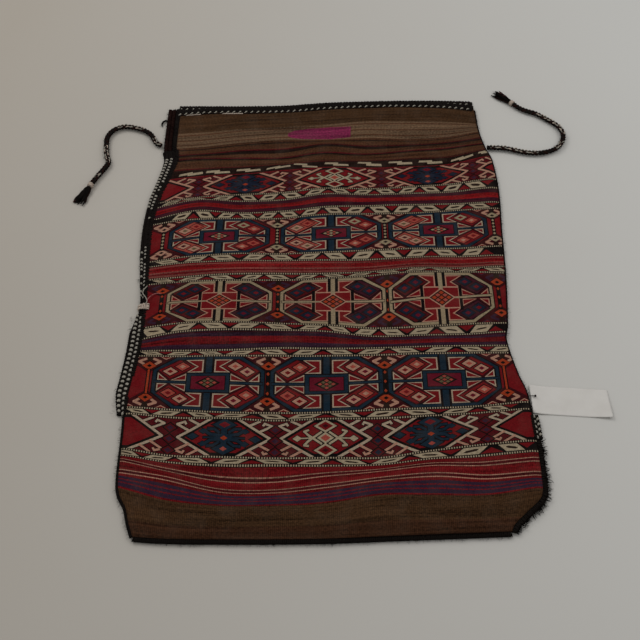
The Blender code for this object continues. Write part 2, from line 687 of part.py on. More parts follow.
def make_fastener(tag_edge):
    """A short stem with a round head that pins the ticket to the bag's edge."""
    edge_x, edge_y = outermost_edge("right", FASTENER_HEIGHT, FASTENER_STEM_DIAMETER)
    head = FASTENER_HEAD_DIAMETER / 2
    stem = FASTENER_STEM_DIAMETER / 2
    start = edge_x + CORNER_GAP + SIDE_SEAM_WIDTH + TURN_SWELL + TOUCH_GAP
    head_start = tag_edge + FASTENER_REACH - start
    middle = tag_height(FASTENER_REACH) + TAG_THICKNESS + head + TOUCH_GAP
    sections = ((0.0, stem), (head_start, stem), (head_start + 0.2 * head, 0.8 * head),
                (head_start + 0.9 * head, head), (head_start + 1.6 * head, 0.6 * head))
    rings = []
    for distance, radius in sections:
        rings.append([Vector((start + distance, edge_y + cos(pi * side / 4) * radius,
                              middle + sin(pi * side / 4) * radius)) for side in range(8)])
    return roll_tube("tag_fastener", rings, ["fastener_plastic"])


clear_scene()
MATERIALS = {name: make_material(name) for name in COLOURS}
make_front_panel()
make_back_panel()
make_left_seams()
make_right_seams()
make_bottom_binding()
make_mouth_braids()
make_tie("left", LEFT_CORD_HEIGHT, SELVEDGE_WIDTH, LEFT_CORD_ROUTE)
make_tie("right", RIGHT_CORD_HEIGHT, SIDE_SEAM_WIDTH, RIGHT_CORD_ROUTE)
make_repair_tie()
make_fastener(make_tag())
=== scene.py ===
# %% [markdown]
# # One pouch of a kilim saddle bag
# The bag is two woven panels that are joined by dark braid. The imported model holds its
# solids, and they stay the measure of everything here: each new piece lies where its
# solid lies, and takes that solid's place in the picture.
# %% Load the frame
from math import ceil, cos, pi, radians, sin
from random import Random

import bmesh
import bpy
import numpy as np
from mathutils import Matrix, Vector
from mathutils.geometry import delaunay_2d_cdt


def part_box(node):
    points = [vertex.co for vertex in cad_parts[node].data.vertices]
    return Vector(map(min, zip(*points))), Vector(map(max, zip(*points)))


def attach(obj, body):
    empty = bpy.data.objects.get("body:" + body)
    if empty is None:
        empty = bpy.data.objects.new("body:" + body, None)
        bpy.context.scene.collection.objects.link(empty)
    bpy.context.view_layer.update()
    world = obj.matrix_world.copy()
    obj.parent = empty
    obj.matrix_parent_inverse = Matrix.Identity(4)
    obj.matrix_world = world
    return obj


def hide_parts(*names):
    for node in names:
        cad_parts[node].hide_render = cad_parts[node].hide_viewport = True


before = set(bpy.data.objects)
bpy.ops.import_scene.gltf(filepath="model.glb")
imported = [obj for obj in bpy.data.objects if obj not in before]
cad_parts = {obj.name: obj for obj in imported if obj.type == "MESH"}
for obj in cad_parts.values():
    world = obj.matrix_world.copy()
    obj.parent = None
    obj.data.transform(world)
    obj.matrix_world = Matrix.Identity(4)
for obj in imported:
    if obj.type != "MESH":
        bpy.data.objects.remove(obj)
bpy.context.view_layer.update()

# %% [markdown]
# ## The camera
# The photograph looks down at the bag from its lower edge, at 54 degrees below level, with
# a lens of normal length. The distance follows from the size of the bag in the picture.
# The small shift is the crop of the picture, a little off the lens's middle.
# %% The photograph's camera
CAMERA_PLACE = (-0.012, -0.9356, 1.190)
CAMERA_PITCH = 54.0
LENS, FILM_WIDTH = 51.6, 36.0
VIEW_SHIFT = 0.0098


def put_in_scene(name, data):
    """An object for a mesh, a lamp or a camera, linked to the scene."""
    made = bpy.data.objects.new(name, data)
    bpy.context.scene.collection.objects.link(made)
    return made


camera_data = bpy.data.cameras.new("photo_camera")
camera_data.lens = LENS
camera_data.shift_y = VIEW_SHIFT
camera_data.sensor_width = FILM_WIDTH
camera = put_in_scene("photo_camera", camera_data)
camera.location = CAMERA_PLACE
camera.rotation_euler = (radians(90.0 - CAMERA_PITCH), 0.0, 0.0)
bpy.context.scene.camera = camera
bpy.context.scene.view_settings.view_transform = "Standard"
print("camera at", CAMERA_PLACE)

# %% [markdown]
# ## Sums with sockets
# A finish is a tree of nodes. It reads best as arithmetic, so a socket is wrapped in a small
# class: adding or multiplying two of them adds the Math node that does it.


# %% A socket that can be used in sums
class Wire:
    """An output socket of one material's node tree."""

    def __init__(self, tree, socket=None):
        self.tree, self.socket = tree, socket

    def node(self, kind, settings=None, sockets=None, output=0):
        """Add any node: its settings first, then the values or links of its sockets."""
        made = self.tree.nodes.new(kind)
        for name, value in (settings or {}).items():
            setattr(made, name, value)
        for name, value in (sockets or {}).items():
            if isinstance(value, Wire):
                self.tree.links.new(value.socket, made.inputs[name])
            else:
                made.inputs[name].default_value = value
        return Wire(self.tree, made.outputs[output])

    def math(self, operation, *others):
        """One step of arithmetic with this value and with wires or numbers after it."""
        values = dict(enumerate((self, *others)))
        return self.node("ShaderNodeMath", {"operation": operation}, values)

    def __add__(self, other):
        return self.math("ADD", other)

    def __sub__(self, other):
        return self.math("SUBTRACT", other)

    def __rsub__(self, other):
        return (self * -1.0) + other

    def __mul__(self, other):
        return self.math("MULTIPLY", other)

    __radd__, __rmul__ = __add__, __mul__

    def wave(self, period):
        """0 to 1 and back over each period."""
        return (self * (2 * pi / period)).math("SINE") * 0.5 + 0.5

    def between(self, low, high):
        """1 where the value lies between two numbers, else 0."""
        return self.math("GREATER_THAN", low) * self.math("LESS_THAN", high)

    def blend(self, colour, share):
        """Mix this colour with a plain one by a share that varies over the surface."""
        return self.node("ShaderNodeMix", {"data_type": "RGBA"},
                         {0: share, 6: self, 7: (*colour, 1.0)}, output=2)

    def shaded(self, tone):
        """This colour, made darker or lighter by a tone that varies over the surface."""
        grey = self.node("ShaderNodeCombineColor", sockets={"Red": tone, "Green": tone, "Blue": tone})
        return self.node("ShaderNodeMix", {"data_type": "RGBA", "blend_type": "MULTIPLY"},
                         {0: 1.0, 6: self, 7: grey}, output=2)

    def axis(self, index):
        """One coordinate of this vector: 0 for x, 1 for y."""
        return self.node("ShaderNodeSeparateXYZ", sockets={"Vector": self}, output=index)

    def noise(self, scale, detail=2.0, distortion=0.0):
        """Smooth random values over this vector."""
        return self.node("ShaderNodeTexNoise", sockets={
            "Vector": self, "Scale": scale, "Detail": detail, "Distortion": distortion})

    def streaks(self, x, y, z=1.0, detail=2.0, distortion=0.0):
        """Random values over this vector with its axes scaled, so that they run in streaks."""
        scaled = self.node("ShaderNodeMapping", sockets={"Vector": self, "Scale": (x, y, z)})
        return scaled.noise(1.0, detail, distortion)


def two_tones(share, dark, light):
    """A colour between a dark and a light one, by a share that varies over the surface."""
    return share.node("ShaderNodeMix", {"data_type": "RGBA"},
                      {0: share, 6: (*dark, 1.0), 7: (*light, 1.0)}, output=2)


SHINE = 0.03


def new_finish(name, roughness):
    """A material with little shine, its shader, and a wire that starts its sums."""
    material = bpy.data.materials.new(name)
    material.use_nodes = True
    shader = material.node_tree.nodes["Principled BSDF"]
    shader.inputs["Roughness"].default_value = roughness
    shader.inputs["Specular IOR Level"].default_value = SHINE
    return material, shader, Wire(material.node_tree)


def on_object(wire):
    """Places on the piece itself, in metres."""
    return wire.node("ShaderNodeTexCoord", output=3)


def connect(shader, wire, colour, height=None, depth=0.0005):
    """Feed the colour and the bump of a finish to its shader."""
    wire.tree.links.new(colour.socket, shader.inputs["Base Color"])
    if height is not None:
        bump = wire.node("ShaderNodeBump", sockets={"Height": height, "Distance": depth,
                                                    "Strength": 1.0})
        wire.tree.links.new(bump.socket, shader.inputs["Normal"])


def dye(red, green, blue):
    """A colour on the screen, 0 to 255, as the light that it stands for."""
    return tuple(((value / 255 + 0.055) / 1.055) ** 2.4 if value > 10 else value / 3294.6
                 for value in (red, green, blue))


print("a middle grey as light:", round(dye(128, 128, 128)[0], 3))

# %% [markdown]
# ## Floor and light
# The bag lies on a plain pale floor in soft light. Two broad lamps and an even sky light it
# at a plain level, so that a dye shows as it is written down.
# %% The floor
FLOOR_REACH, FLOOR_DROP = 4.0, 0.0002
floor_bm = bmesh.new()
bmesh.ops.create_grid(floor_bm, x_segments=8, y_segments=8, size=FLOOR_REACH)
bmesh.ops.translate(floor_bm, verts=floor_bm.verts, vec=(0, 0, -FLOOR_DROP))
floor_mesh = bpy.data.meshes.new("floor")
floor_bm.to_mesh(floor_mesh)
floor_bm.free()
put_in_scene("floor", floor_mesh)

floor_finish, floor_shader, floor_wire = new_finish("pale_floor", 0.75)
floor_place = on_object(floor_wire)
lighter = floor_place.axis(0) * 0.75 + 0.42 + floor_place.noise(1.4, 4.0) * 0.16
connect(floor_shader, floor_wire, two_tones(lighter, dye(157, 150, 140), dye(183, 182, 178)))
floor_mesh.materials.append(floor_finish)


# %% The lamps and the sky
def add_lamp(name, place, size, power):
    """A broad square lamp that faces the middle of the bag."""
    data = bpy.data.lights.new(name, "AREA")
    data.size, data.energy = size, power
    lamp = put_in_scene(name, data)
    lamp.location = place
    lamp.rotation_euler = (-Vector(place)).to_track_quat("-Z", "Y").to_euler()


add_lamp("window_lamp", (-1.6, 1.5, 2.3), 1.6, 34.0)
add_lamp("room_lamp", (1.8, 0.4, 2.4), 2.2, 22.0)
world = bpy.data.worlds.new("soft_room")
world.use_nodes = True
sky = world.node_tree.nodes["Background"]
sky.inputs["Color"].default_value = (1.0, 1.0, 1.0, 1.0)
sky.inputs["Strength"].default_value = 0.55
bpy.context.scene.world = world
print("floor, two lamps and a sky")

# %% [markdown]
# ## The lie of the cloth
# The loom made straight bands, and use has pulled them into gentle waves. The rows below
# say how high each weft line runs at nine places across the bag, in millimetres. Between
# them, a smooth curve gives the place of any thread, so a pattern can be drawn straight
# and laid down bent.
# %% Weft lines, edges and height of the cloth
SHIFT_X, SHIFT_Y = 12.0, 71.0
COLUMN_PLACES = (-285, -215, -140, -65, 10, 85, 160, 235, 308)
WEFT_LINES = {
    "bottom": (-358, -363, -364, -364, -363, -360, -357, -354, -350),
    "thin_red": (-287, -309.5, -318, -318, -314.5, -303, -303, -302, -288),
    "cream_pair_low": (-261, -277, -296, -297, -289, -279, -271.5, -274, -265),
    "cream_pair_high": (-243, -264, -279, -280, -271, -265, -255, -253, -242),
    "leaf_1": (-236, -251, -257, -257, -257.5, -256, -246, -240, -229),
    "hooked_low": (-225, -240, -243.5, -246, -245, -245, -233, -222, -212),
    "leaf_2": (-166, -177, -179, -184, -181, -180, -175, -169.5, -158),
    "blue_low": (-155, -164, -169, -171, -170, -165, -162, -158, -146),
    "leaf_3": (-62, -68, -68, -69, -68.5, -67, -64, -61, -55),
    "purple": (-53, -57, -57, -54, -55, -54, -51, -47, -41),
    "leaf_4": (-31, -20, -17.5, -19, -23, -33, -29, -25, -13),
    "cream": (-9, -3, -2, -6, -10, -17, -12.5, -5, 3),
    "leaf_5": (79, 81, 81.5, 80, 85, 92, 101, 101, 105),
    "pink": (89, 91.5, 95, 94, 95, 100, 109, 109, 119),
    "leaf_6": (117, 121.5, 123, 122.5, 124, 125, 131, 133.5, 143),
    "blue_high": (128, 134.5, 139, 138, 142, 146, 150, 152, 164),
    "leaf_7": (212, 218, 218, 218.5, 228, 229, 231, 239, 251),
    "maroon": (224, 238, 231.5, 235, 245, 248, 251.5, 255, 266),
    "leaf_8": (252, 265, 259, 262, 276, 273.5, 278.5, 285, 301),
    "hooked_high": (263, 271, 276, 280, 290, 288, 295, 304, 323),
    "dash_low": (320, 324, 327, 335, 344, 342, 345, 353, 381),
    "dash_middle": (329, 331, 335, 344, 351, 353, 356, 361, 392),
    "dark_low": (371, 369, 366, 367, 382, 378, 386, 395, 417),
    "dark_high": (381, 378, 381, 385, 401, 395.5, 400, 407, 430),
    "taupe_low": (403, 400, 409, 415, 417, 422, 420, 427, 452),
    "taupe_high": (442, 440, 447, 453, 459, 466, 467, 470, 470),
    "mouth": (497, 497, 497, 499, 507, 511, 513, 513, 510),
}
LEVEL = {name: sum(rises) / len(rises) for name, rises in WEFT_LINES.items()}

# The cloth's edges: a share of its length from the bottom, and how far the edge lies
# inside the full half width there, in metres
HALF_WIDTH, HALF_LENGTH = 0.3055, 0.434
LEFT_INSETS = (
    (0.000, 0.0380), (0.025, 0.0295), (0.055, 0.0215), (0.071, 0.0125), (0.095, 0.0070),
    (0.190, 0.0045), (0.246, 0.0025), (0.303, 0.0065), (0.367, 0.0105), (0.453, 0.0095),
    (0.533, 0.0055), (0.650, 0.0005), (0.729, 0.0055), (0.786, 0.0175), (0.849, 0.0300),
    (0.890, 0.0265), (1.000, 0.0255),
)
RIGHT_INSETS = (
    (0.000, 0.0560), (0.022, 0.0500), (0.048, 0.0270), (0.070, 0.0070), (0.095, 0.0020),
    (0.189, 0.0015), (0.270, 0.0050), (0.310, 0.0145), (0.384, 0.0250), (0.418, 0.0195),
    (0.533, 0.0105), (0.648, 0.0055), (0.763, 0.0000), (0.850, 0.0035), (0.885, 0.0120),
    (0.936, 0.0195), (1.000, 0.0215),
)

# Heights in metres, and the shares of the length over which the air rises and falls
FRONT_UNDERSIDE, FRONT_TOP = 0.0030, 0.0068
PUFF, FOLD = 0.010, 0.0012
BOTTOM_RISE, MOUTH_FALL, MOUTH_PUFF = 0.12, 0.78, 0.75


def curve(places, values, x):
    """Smooth curve through given values, at many places at once."""
    places, values = np.asarray(places, float), np.asarray(values, float)
    x = np.atleast_1d(np.asarray(x, float))
    every = np.arange(len(x))
    low = np.clip(np.searchsorted(places, x, side="right") - 1, 0, len(places) - 2)
    before, after = np.maximum(low - 1, 0), np.minimum(low + 2, len(places) - 1)

    def pick(index):
        return values[index] if values.ndim == 1 else values[index, every]

    first, second = pick(low), pick(low + 1)
    span = places[low + 1] - places[low]
    slope_in = (second - pick(before)) / (places[low + 1] - places[before]) * span
    slope_out = (pick(after) - first) / (places[after] - places[low]) * span
    t = np.clip((x - places[low]) / span, 0.0, 1.0)
    return (first * (2 * t ** 3 - 3 * t ** 2 + 1) + slope_in * (t ** 3 - 2 * t ** 2 + t)
            + second * (3 * t ** 2 - 2 * t ** 3) + slope_out * (t ** 3 - t ** 2))


def length_share(y):
    """How far up the bag a place lies, from 0 at the bottom to 1 at the mouth."""
    return np.clip((y + HALF_LENGTH) / (2 * HALF_LENGTH), 0.0, 1.0)


def edges_at(y):
    """The left and right edge of the cloth, in metres, at heights in metres."""
    share = length_share(y)
    left = -HALF_WIDTH + curve(*zip(*LEFT_INSETS), share)
    right = HALF_WIDTH - curve(*zip(*RIGHT_INSETS), share)
    return left, right


def lay(x, level):
    """Ground place in metres of threads at x and at a level of the straight pattern."""
    x = np.atleast_1d(np.asarray(x, float))
    level = np.broadcast_to(np.asarray(level, float), x.shape)
    lines = np.array([curve(COLUMN_PLACES, rises, x) for rises in WEFT_LINES.values()])
    y = curve(list(LEVEL.values()), lines, level)
    return (x - SHIFT_X) / 1000.0, (y - SHIFT_Y) / 1000.0


# Soft creases seen in the cloth: middle x and y, half length, half width in
# millimetres, turn in degrees, and height in millimetres
CREASES = (
    (-150, 386, 90, 9, 8, 1.1), (40, 396, 110, 10, -6, 1.2), (210, 402, 80, 9, 12, 1.0),
    (-215, 352, 60, 8, 10, 0.8), (120, 372, 90, 8, 4, 0.8), (-30, 430, 60, 7, 3, 1.0),
    (20, 446, 38, 4, 4, 1.2), (34, 434, 30, 4, -12, 0.9), (150, 440, 80, 9, 2, 0.9),
    (-190, 446, 70, 9, 4, 0.9), (-120, 252, 80, 10, -8, 1.2), (60, 262, 90, 10, 6, 1.1),
    (230, 268, 70, 9, 12, 0.9), (-225, 232, 50, 8, 20, 0.9), (-100, 112, 120, 11, 2, 0.8),
    (150, 122, 110, 10, 8, 0.9), (-180, -28, 90, 11, 12, 1.0), (60, -36, 110, 12, -6, 0.9),
    (220, -34, 70, 9, 14, 0.8), (-210, -262, 80, 10, -16, 1.3), (-60, -288, 90, 11, 2, 1.2),
    (80, -278, 90, 11, 12, 1.2), (230, -262, 70, 9, 12, 1.0), (-120, -334, 110, 13, -3, 1.2),
    (120, -328, 120, 13, 5, 1.2), (-40, 186, 60, 12, 60, 0.6), (112, 200, 60, 12, 80, 0.6),
    (-75, 44, 60, 12, 85, 0.6), (110, 46, 60, 12, 95, 0.6), (-80, -112, 60, 12, 90, 0.6),
    (95, -110, 60, 12, 88, 0.6), (-140, 470, 60, 8, 3, 0.8), (60, 482, 80, 8, 2, 0.7),
)


def puff(x, y):
    """Air under the front panel, as in the solids, at ground places in metres."""
    left, right = edges_at(y)
    u = np.clip((x - left) / (right - left), 0.0, 1.0)
    share = length_share(y)
    across = 1 - np.abs(2 * u - 1) ** 5
    from_bottom = 1 - np.maximum(0.0, 1 - share / BOTTOM_RISE) ** 3
    to_mouth = curve((MOUTH_FALL, 1.0), (1.0, MOUTH_PUFF), np.maximum(share, MOUTH_FALL))
    folds = 0.5 * np.sin(9.0 * u + 21.0 * share) + 0.5 * np.sin(5.0 - 7.0 * u + 34.0 * share)
    return across * from_bottom * (PUFF * to_mouth + FOLD * folds)


def creased(x, y):
    """Height of the soft creases and of the fine ripples, at ground places in metres."""
    left, right = edges_at(y)
    fade = np.clip(np.minimum(x - left, right - x) / 0.02, 0.0, 1.0)
    fade = fade * np.clip((y + HALF_LENGTH) / 0.03, 0.0, 1.0)
    mm_x, mm_y = x * 1000 + SHIFT_X, y * 1000 + SHIFT_Y
    total = np.zeros_like(mm_x)
    for middle_x, middle_y, long, wide, turn, height in CREASES:
        c, s = cos(radians(turn)), sin(radians(turn))
        along = ((mm_x - middle_x) * c + (mm_y - middle_y) * s) / long
        away = (-(mm_x - middle_x) * s + (mm_y - middle_y) * c) / wide
        total += height * np.exp(-along ** 2 - away ** 2)
    total += 0.35 * np.sin(mm_x / 17.0 + 0.8 * np.sin(mm_y / 31.0)) * np.sin(mm_y / 13.0 + 1.0)
    total += 0.25 * np.sin(mm_x / 41.0 - mm_y / 23.0)
    return total * fade / 1000.0


print("weft lines:", len(WEFT_LINES), "creases:", len(CREASES))

# %% [markdown]
# ## Drawing the pattern
# A weaver builds each figure from patches of one dye. They are drawn here in the same way:
# straight-sided patches on the straight pattern, each laid over those before it. Sizes are
# millimetres. Every shape ends up in one list, which the next step cuts into the cloth.
# %% Dyes and ways of weaving
DYES = {
    "brown": dye(62, 42, 26), "earth": dye(70, 43, 28), "taupe": dye(92, 71, 53),
    "black": dye(14, 10, 10), "umber": dye(30, 18, 14), "red": dye(92, 16, 19),
    "bright_red": dye(106, 17, 19), "crimson": dye(82, 15, 28), "maroon": dye(48, 12, 15),
    "oxblood": dye(66, 13, 17), "wine": dye(52, 19, 28), "purple": dye(45, 25, 38),
    "navy": dye(21, 27, 40), "blue": dye(20, 33, 43), "cream": dye(138, 124, 102),
    "ivory": dye(142, 125, 106), "tan": dye(124, 109, 86), "rose": dye(144, 106, 88),
    "salmon": dye(132, 58, 48), "dusty_pink": dye(108, 56, 50), "orange": dye(130, 47, 24),
    "olive": dye(80, 70, 48), "magenta": dye(106, 33, 62), "peat": dye(58, 36, 23),
}
BROCADE, RIBBED, DOTTED, SPECKLED = 0, 1, 2, 3
PATCHES = []
print("dyes:", len(DYES))


# %% The simple patches
def area(points):
    """Twice the area of an outline, positive if it runs to the left."""
    return sum(a[0] * b[1] - b[0] * a[1] for a, b in zip(points, points[1:] + points[:1]))


def patch(points, colour, weave=BROCADE):
    """Lay a patch of one dye over what is there."""
    points = [(float(x), float(level)) for x, level in points]
    if area(points) < 0:
        points.reverse()
    PATCHES.append((points, colour, weave))


FIELD_LEFT, FIELD_RIGHT = -332.0, 348.0


def field(low, high, colour, weave=RIBBED):
    """A straight field between two levels, past both edges of the cloth."""
    patch([(FIELD_LEFT, low), (FIELD_RIGHT, low), (FIELD_RIGHT, high), (FIELD_LEFT, high)],
          colour, weave)


def diamond(x, level, half_x, half_level, colour):
    """A patch that stands on its point."""
    patch([(x - half_x, level), (x, level - half_level), (x + half_x, level),
           (x, level + half_level)], colour)


def line(points, width, colour):
    """A bent line of one width, made of overlapping straight bars."""
    for (x0, y0), (x1, y1) in zip(points, points[1:]):
        length = max(((x1 - x0) ** 2 + (y1 - y0) ** 2) ** 0.5, 1e-6)
        ax, ay = (x1 - x0) / length, (y1 - y0) / length
        reach, half = 0.3 * width, width / 2
        patch([(x0 - ax * reach - ay * half, y0 - ay * reach + ax * half),
               (x0 - ax * reach + ay * half, y0 - ay * reach - ax * half),
               (x1 + ax * reach + ay * half, y1 + ay * reach - ax * half),
               (x1 + ax * reach - ay * half, y1 + ay * reach + ax * half)], colour)


def inset(points, width):
    """The same outline with every side moved inwards."""
    turn = 1.0 if area(points) > 0 else -1.0
    moved = []
    for index, here in enumerate(points):
        here, before = Vector(here), Vector(points[index - 1])
        after = Vector(points[(index + 1) % len(points)])
        first, second = (here - before).normalized(), (after - here).normalized()
        first, second = Vector((-first.y, first.x)) * turn, Vector((-second.y, second.x)) * turn
        moved.append(tuple(here + (first + second) * (width / max(1 + first.dot(second), 0.35))))
    return moved


def framed(points, border, width, colour):
    """A patch with a border of another dye."""
    patch(points, border)
    patch(inset(points, width), colour)


# %% Leaf borders
LAST_LEAF_GAP = 46


def leaf_border(low_name, high_name, middles, slit, first_lean):
    """Leaves that lean left and right in turn, with triangles between, and dots along both."""
    low, high = LEVEL[low_name], LEVEL[high_name]
    field(low, high, "black", BROCADE)
    foot, top = low + 2.5, high - 2.5
    level, lean = (foot + top) / 2, first_lean
    for middle, following in zip(middles, [*middles[1:], middles[-1] + LAST_LEAF_GAP]):
        half, shift = 0.30 * (following - middle), 0.12 * (following - middle) * lean
        patch([(middle - half - shift, foot), (middle + half - shift, foot),
               (middle + half + shift, top), (middle - half + shift, top)], "cream")
        reach, thick, rise = half * 0.68, 1.25 * slit, 1.2 * lean
        patch([(middle + reach * along, level + rise * along + thick * side + tip)
               for along, side, tip in ((-1, 0, -0.3), (-0.5, -1, 0), (0.6, -1, 0), (1, 0, 0.3),
                                        (0.5, 1, 0), (-0.6, 1, 0))], "umber")
        gap = (middle + following) / 2
        base, apex = (foot, top) if lean > 0 else (top, foot)
        wide = 0.33 * (following - middle)
        patch([(gap - wide, base), (gap + wide, base), (gap + 1.0, apex), (gap - 1.0, apex)],
              "black")
        patch([(gap - wide + 2.8, base), (gap + wide - 2.8, base),
               (gap, apex + 0.26 * (base - apex))], "red")
        lean = -lean
    for level in (low, high):
        field(level - 2.1, level + 2.1, "black", BROCADE)
        field(level - 1.25, level + 1.25, "cream", DOTTED)


# %% [markdown]
# ### The figures
# Three bands carry a row of octagons. Each octagon has a bar down its middle, a box or a
# diamond at its heart, and in every quarter a slanting strip with two small diamonds. Two
# more bands carry long diamonds with hooks. One function draws each kind of figure, and the
# dyes and the places change from band to band as they do on the bag.
# %% Shapes that every figure uses
OCTAGON_HEIGHT, HOOKED_HEIGHT = 99.0, 68.0
SIDES = (-1, 1)
QUARTERS = ((-1, 1), (1, 1), (-1, -1), (1, -1))


def middle_of(low_name, high_name, drawn_height):
    """Middle level between two weft lines, and how far a drawn figure stretches to fill them."""
    low, high = LEVEL[low_name], LEVEL[high_name]
    return (low + high) / 2, (high - low) / drawn_height


def mirrored(points, x, level, turn_x, turn_y, stretch):
    """Points of a figure placed at a middle, turned over in x or y, and stretched upwards."""
    return [(x + turn_x * px, level + turn_y * py * stretch) for px, py in points]


def eye(x, level, stretch, *rings):
    """Diamonds one in another, each as its half width, its half height and its dye."""
    for half_x, half_level, colour in rings:
        diamond(x, level, half_x, half_level * stretch, colour)


def lattice(x, level, step_x, step_y, colours, ground):
    """Nine small diamonds in a three by three diamond."""
    diamond(x, level, 3.3 * step_x, 3.3 * step_y, ground)
    for row in (-1, 0, 1):
        for column in (-1, 0, 1):
            px = x + (row + column) * step_x
            py = level + (row - column) * step_y
            diamond(px, py, step_x * 0.74, step_y * 0.74, colours[(row + column) % 2])


# %% Octagons
def octagon(x, low_name, high_name, ring, strip, eyes, crooked=0.0, beads=()):
    """One octagon: its rings, its four quarters, and a diamond or a box at its heart."""
    level, stretch = middle_of(low_name, high_name, OCTAGON_HEIGHT)
    pale_kind = ring == "tan"
    frame_dye = "rose" if pale_kind else "ivory"
    outer = mirrored([(-50, 49.5), (50, 49.5), (87, 23), (87, -21), (50, -49.5), (-50, -49.5),
                      (-87, -21), (-87, 23)], x, level, 1, 1, stretch)
    patch(outer, "umber" if pale_kind else "black")
    for width, colour in ((1.9, ring), (6.6, "black"), (9.2, "maroon")):
        patch(inset(outer, width), colour)
    for index, (turn_x, turn_y) in enumerate(QUARTERS):
        def quarter(*points):
            return mirrored(points, x, level, turn_x, turn_y, stretch)

        framed(quarter((8.4, 42), (36, 42), (19, 29), (33, 18.5), (8.4, 18.5)), frame_dye, 2.1, "red")
        slant = quarter((79, 22), (45, 43), (18, 29.5), (59, 4.5))
        patch(slant, "black" if pale_kind else "maroon")
        patch(inset(slant, 1.3), strip[index % len(strip)])
        for eye_index, (ex, ey) in enumerate(quarter((59, 20), (40.5, 29.5))):
            outline, rim, pupil = eyes[(index * 2 + eye_index) % len(eyes)]
            eye(ex, ey, stretch, (14.0, 10.0, outline), (11.6, 8.0, rim), (5.0, 3.4, pupil))
        framed(quarter((78, 17.5), (78, 3.2), (62, 3.2)), frame_dye, 1.8, "red")
        framed(quarter((33, 17), (33, 3.2), (57.5, 3.2)), frame_dye, 1.9, "red")
    for turn in SIDES:
        spoke = [(x + turn * 30, level), (x + turn * 82, level + 7.0 * crooked * turn)]
        line(spoke, 6.0 * stretch, "black")
        line(spoke, 3.6 * stretch, ring)
    if pale_kind:
        diamond_heart(x, level, stretch)
    else:
        box_heart(x, level, stretch, ring, beads)


def box(x, level, half_x, half_level, colour):
    """A patch with level and upright sides."""
    patch([(x - half_x, level - half_level), (x + half_x, level - half_level),
           (x + half_x, level + half_level), (x - half_x, level + half_level)], colour)


def diamond_heart(x, level, stretch):
    """The middle of a pale octagon: a square with side bars, and a diamond on a cross."""
    for half_x, half_level, colour in ((8.4, 48, "black"), (30, 20.5, "rose"), (28, 18.2, "red")):
        box(x, level, half_x, half_level * stretch, colour)
    for turn in SIDES:
        line([(x + turn * 31.5, level - 22 * stretch), (x + turn * 31.5, level + 22 * stretch)],
             5.2, "black")
    for turn in SIDES:
        line([(x, level + turn * 15 * stretch), (x, level + turn * 47 * stretch)], 7.0, "tan")
        line([(x + turn * 18, level), (x + turn * 40, level)], 3.2 * stretch, "tan")
    eye(x, level, stretch, (22.5, 17.5, "rose"), (19.6, 15.0, "black"))
    lattice(x, level, 5.9, 4.5 * stretch, ("orange", "salmon"), "umber")


def box_heart(x, level, stretch, ring, beads):
    """The middle of a blue octagon: an upright bar and a box with a beaded diamond."""
    box(x, level, 7.6, 48 * stretch, "black")
    for turn in SIDES:
        line([(x, level + turn * 17 * stretch), (x, level + turn * 48 * stretch)], 9.4, ring)
    for half_x, half_level, colour in ((34, 18.2, "black"), (32.4, 16.4, ring), (27.0, 12.6, "black"),
                                       (25.6, 11.6, "crimson")):
        box(x, level, half_x, half_level * stretch, colour)
    diamond(x, level, 19.5, 11.4 * stretch, "black")
    lattice(x, level, 5.0, 3.2 * stretch, beads, "umber")


# %% The joints between octagons
def joint(x, low_name, high_name, beads, jewel, hook, count=3):
    """Beads between two octagons, a jewel above and below, and hooks in the corners."""
    level, stretch = middle_of(low_name, high_name, OCTAGON_HEIGHT)
    for turn in SIDES:
        patch(mirrored([(-46, 49.5), (46, 49.5), (0, 16)], x, level, 1, turn, stretch), "maroon")
        diamond(x, level + turn * 43 * stretch, 9, 6, "umber")
        for side in SIDES:
            line(mirrored([(6, 43.5), (17, 38.5), (9, 33)], x, level, side, turn, stretch), 4.2, hook)
            for wedge, colour in (([(15, 48.5), (36, 48.5), (25, 42.5)], hook),
                                  ([(19, 47.5), (31, 47.5), (25, 44.5)], "red")):
                patch(mirrored(wedge, x, level, side, turn, stretch), colour)
        eye(x, level + turn * 30 * stretch, stretch, (13.0, 9.6, "black"), (11.4, 8.2, jewel),
            (4.2, 3.0, "black"))
    bar = [(x, level - 22 * stretch), (x, level + 22 * stretch)]
    line(bar, 7.0, "black")
    if count == 0:
        line(bar, 3.2, beads)
    for index in range(count):
        share = (index - (count - 1) / 2) / max(count - 1, 1)
        diamond(x, level + share * 34 * stretch, 2.6, 3.2 * stretch, beads)


# %% Long diamonds with hooks
def hooked(x, low_name, high_name, half, core, border):
    """A long diamond cut off by the band, with hooks outside and a core inside."""
    level, stretch = middle_of(low_name, high_name, HOOKED_HEIGHT)
    cut = half - 48.0

    def put(points, turn_x=1, turn_y=1):
        return mirrored(points, x, level, turn_x, turn_y, stretch)

    edge = put([(-half, 0), (-cut, 33), (cut, 33), (half, 0), (cut, -33), (-cut, -33)])
    patch(edge, "black")
    for rim, tone in ((2.6, "black"), (0.0, None)):
        for turn_x in SIDES:
            for turn_y in SIDES:
                upper, lower = tone or border, tone or (border if turn_y > 0 else "rose")
                for points, width, colour in (
                        ([(half, 0), (cut, 33)], 3.8, upper),
                        ([(half - 17, 11.5), (half + 2, 23)], 3.6, lower),
                        ([(half + 2, 23), (half - 9, 27.5), (half - 11, 24)], 3.4, lower),
                        ([(half - 32, 21.5), (half - 16, 31.5)], 3.6, lower)):
                    line(put(points, turn_x, turn_y), width + rim, colour)
    patch(inset(edge, 3.6), "black")
    patch(inset(edge, 5.6), "red")
    if core == "lattice":
        lattice_core(x, level, stretch, put)
    elif core != "plain":
        winged_core(x, level, stretch, put, core)


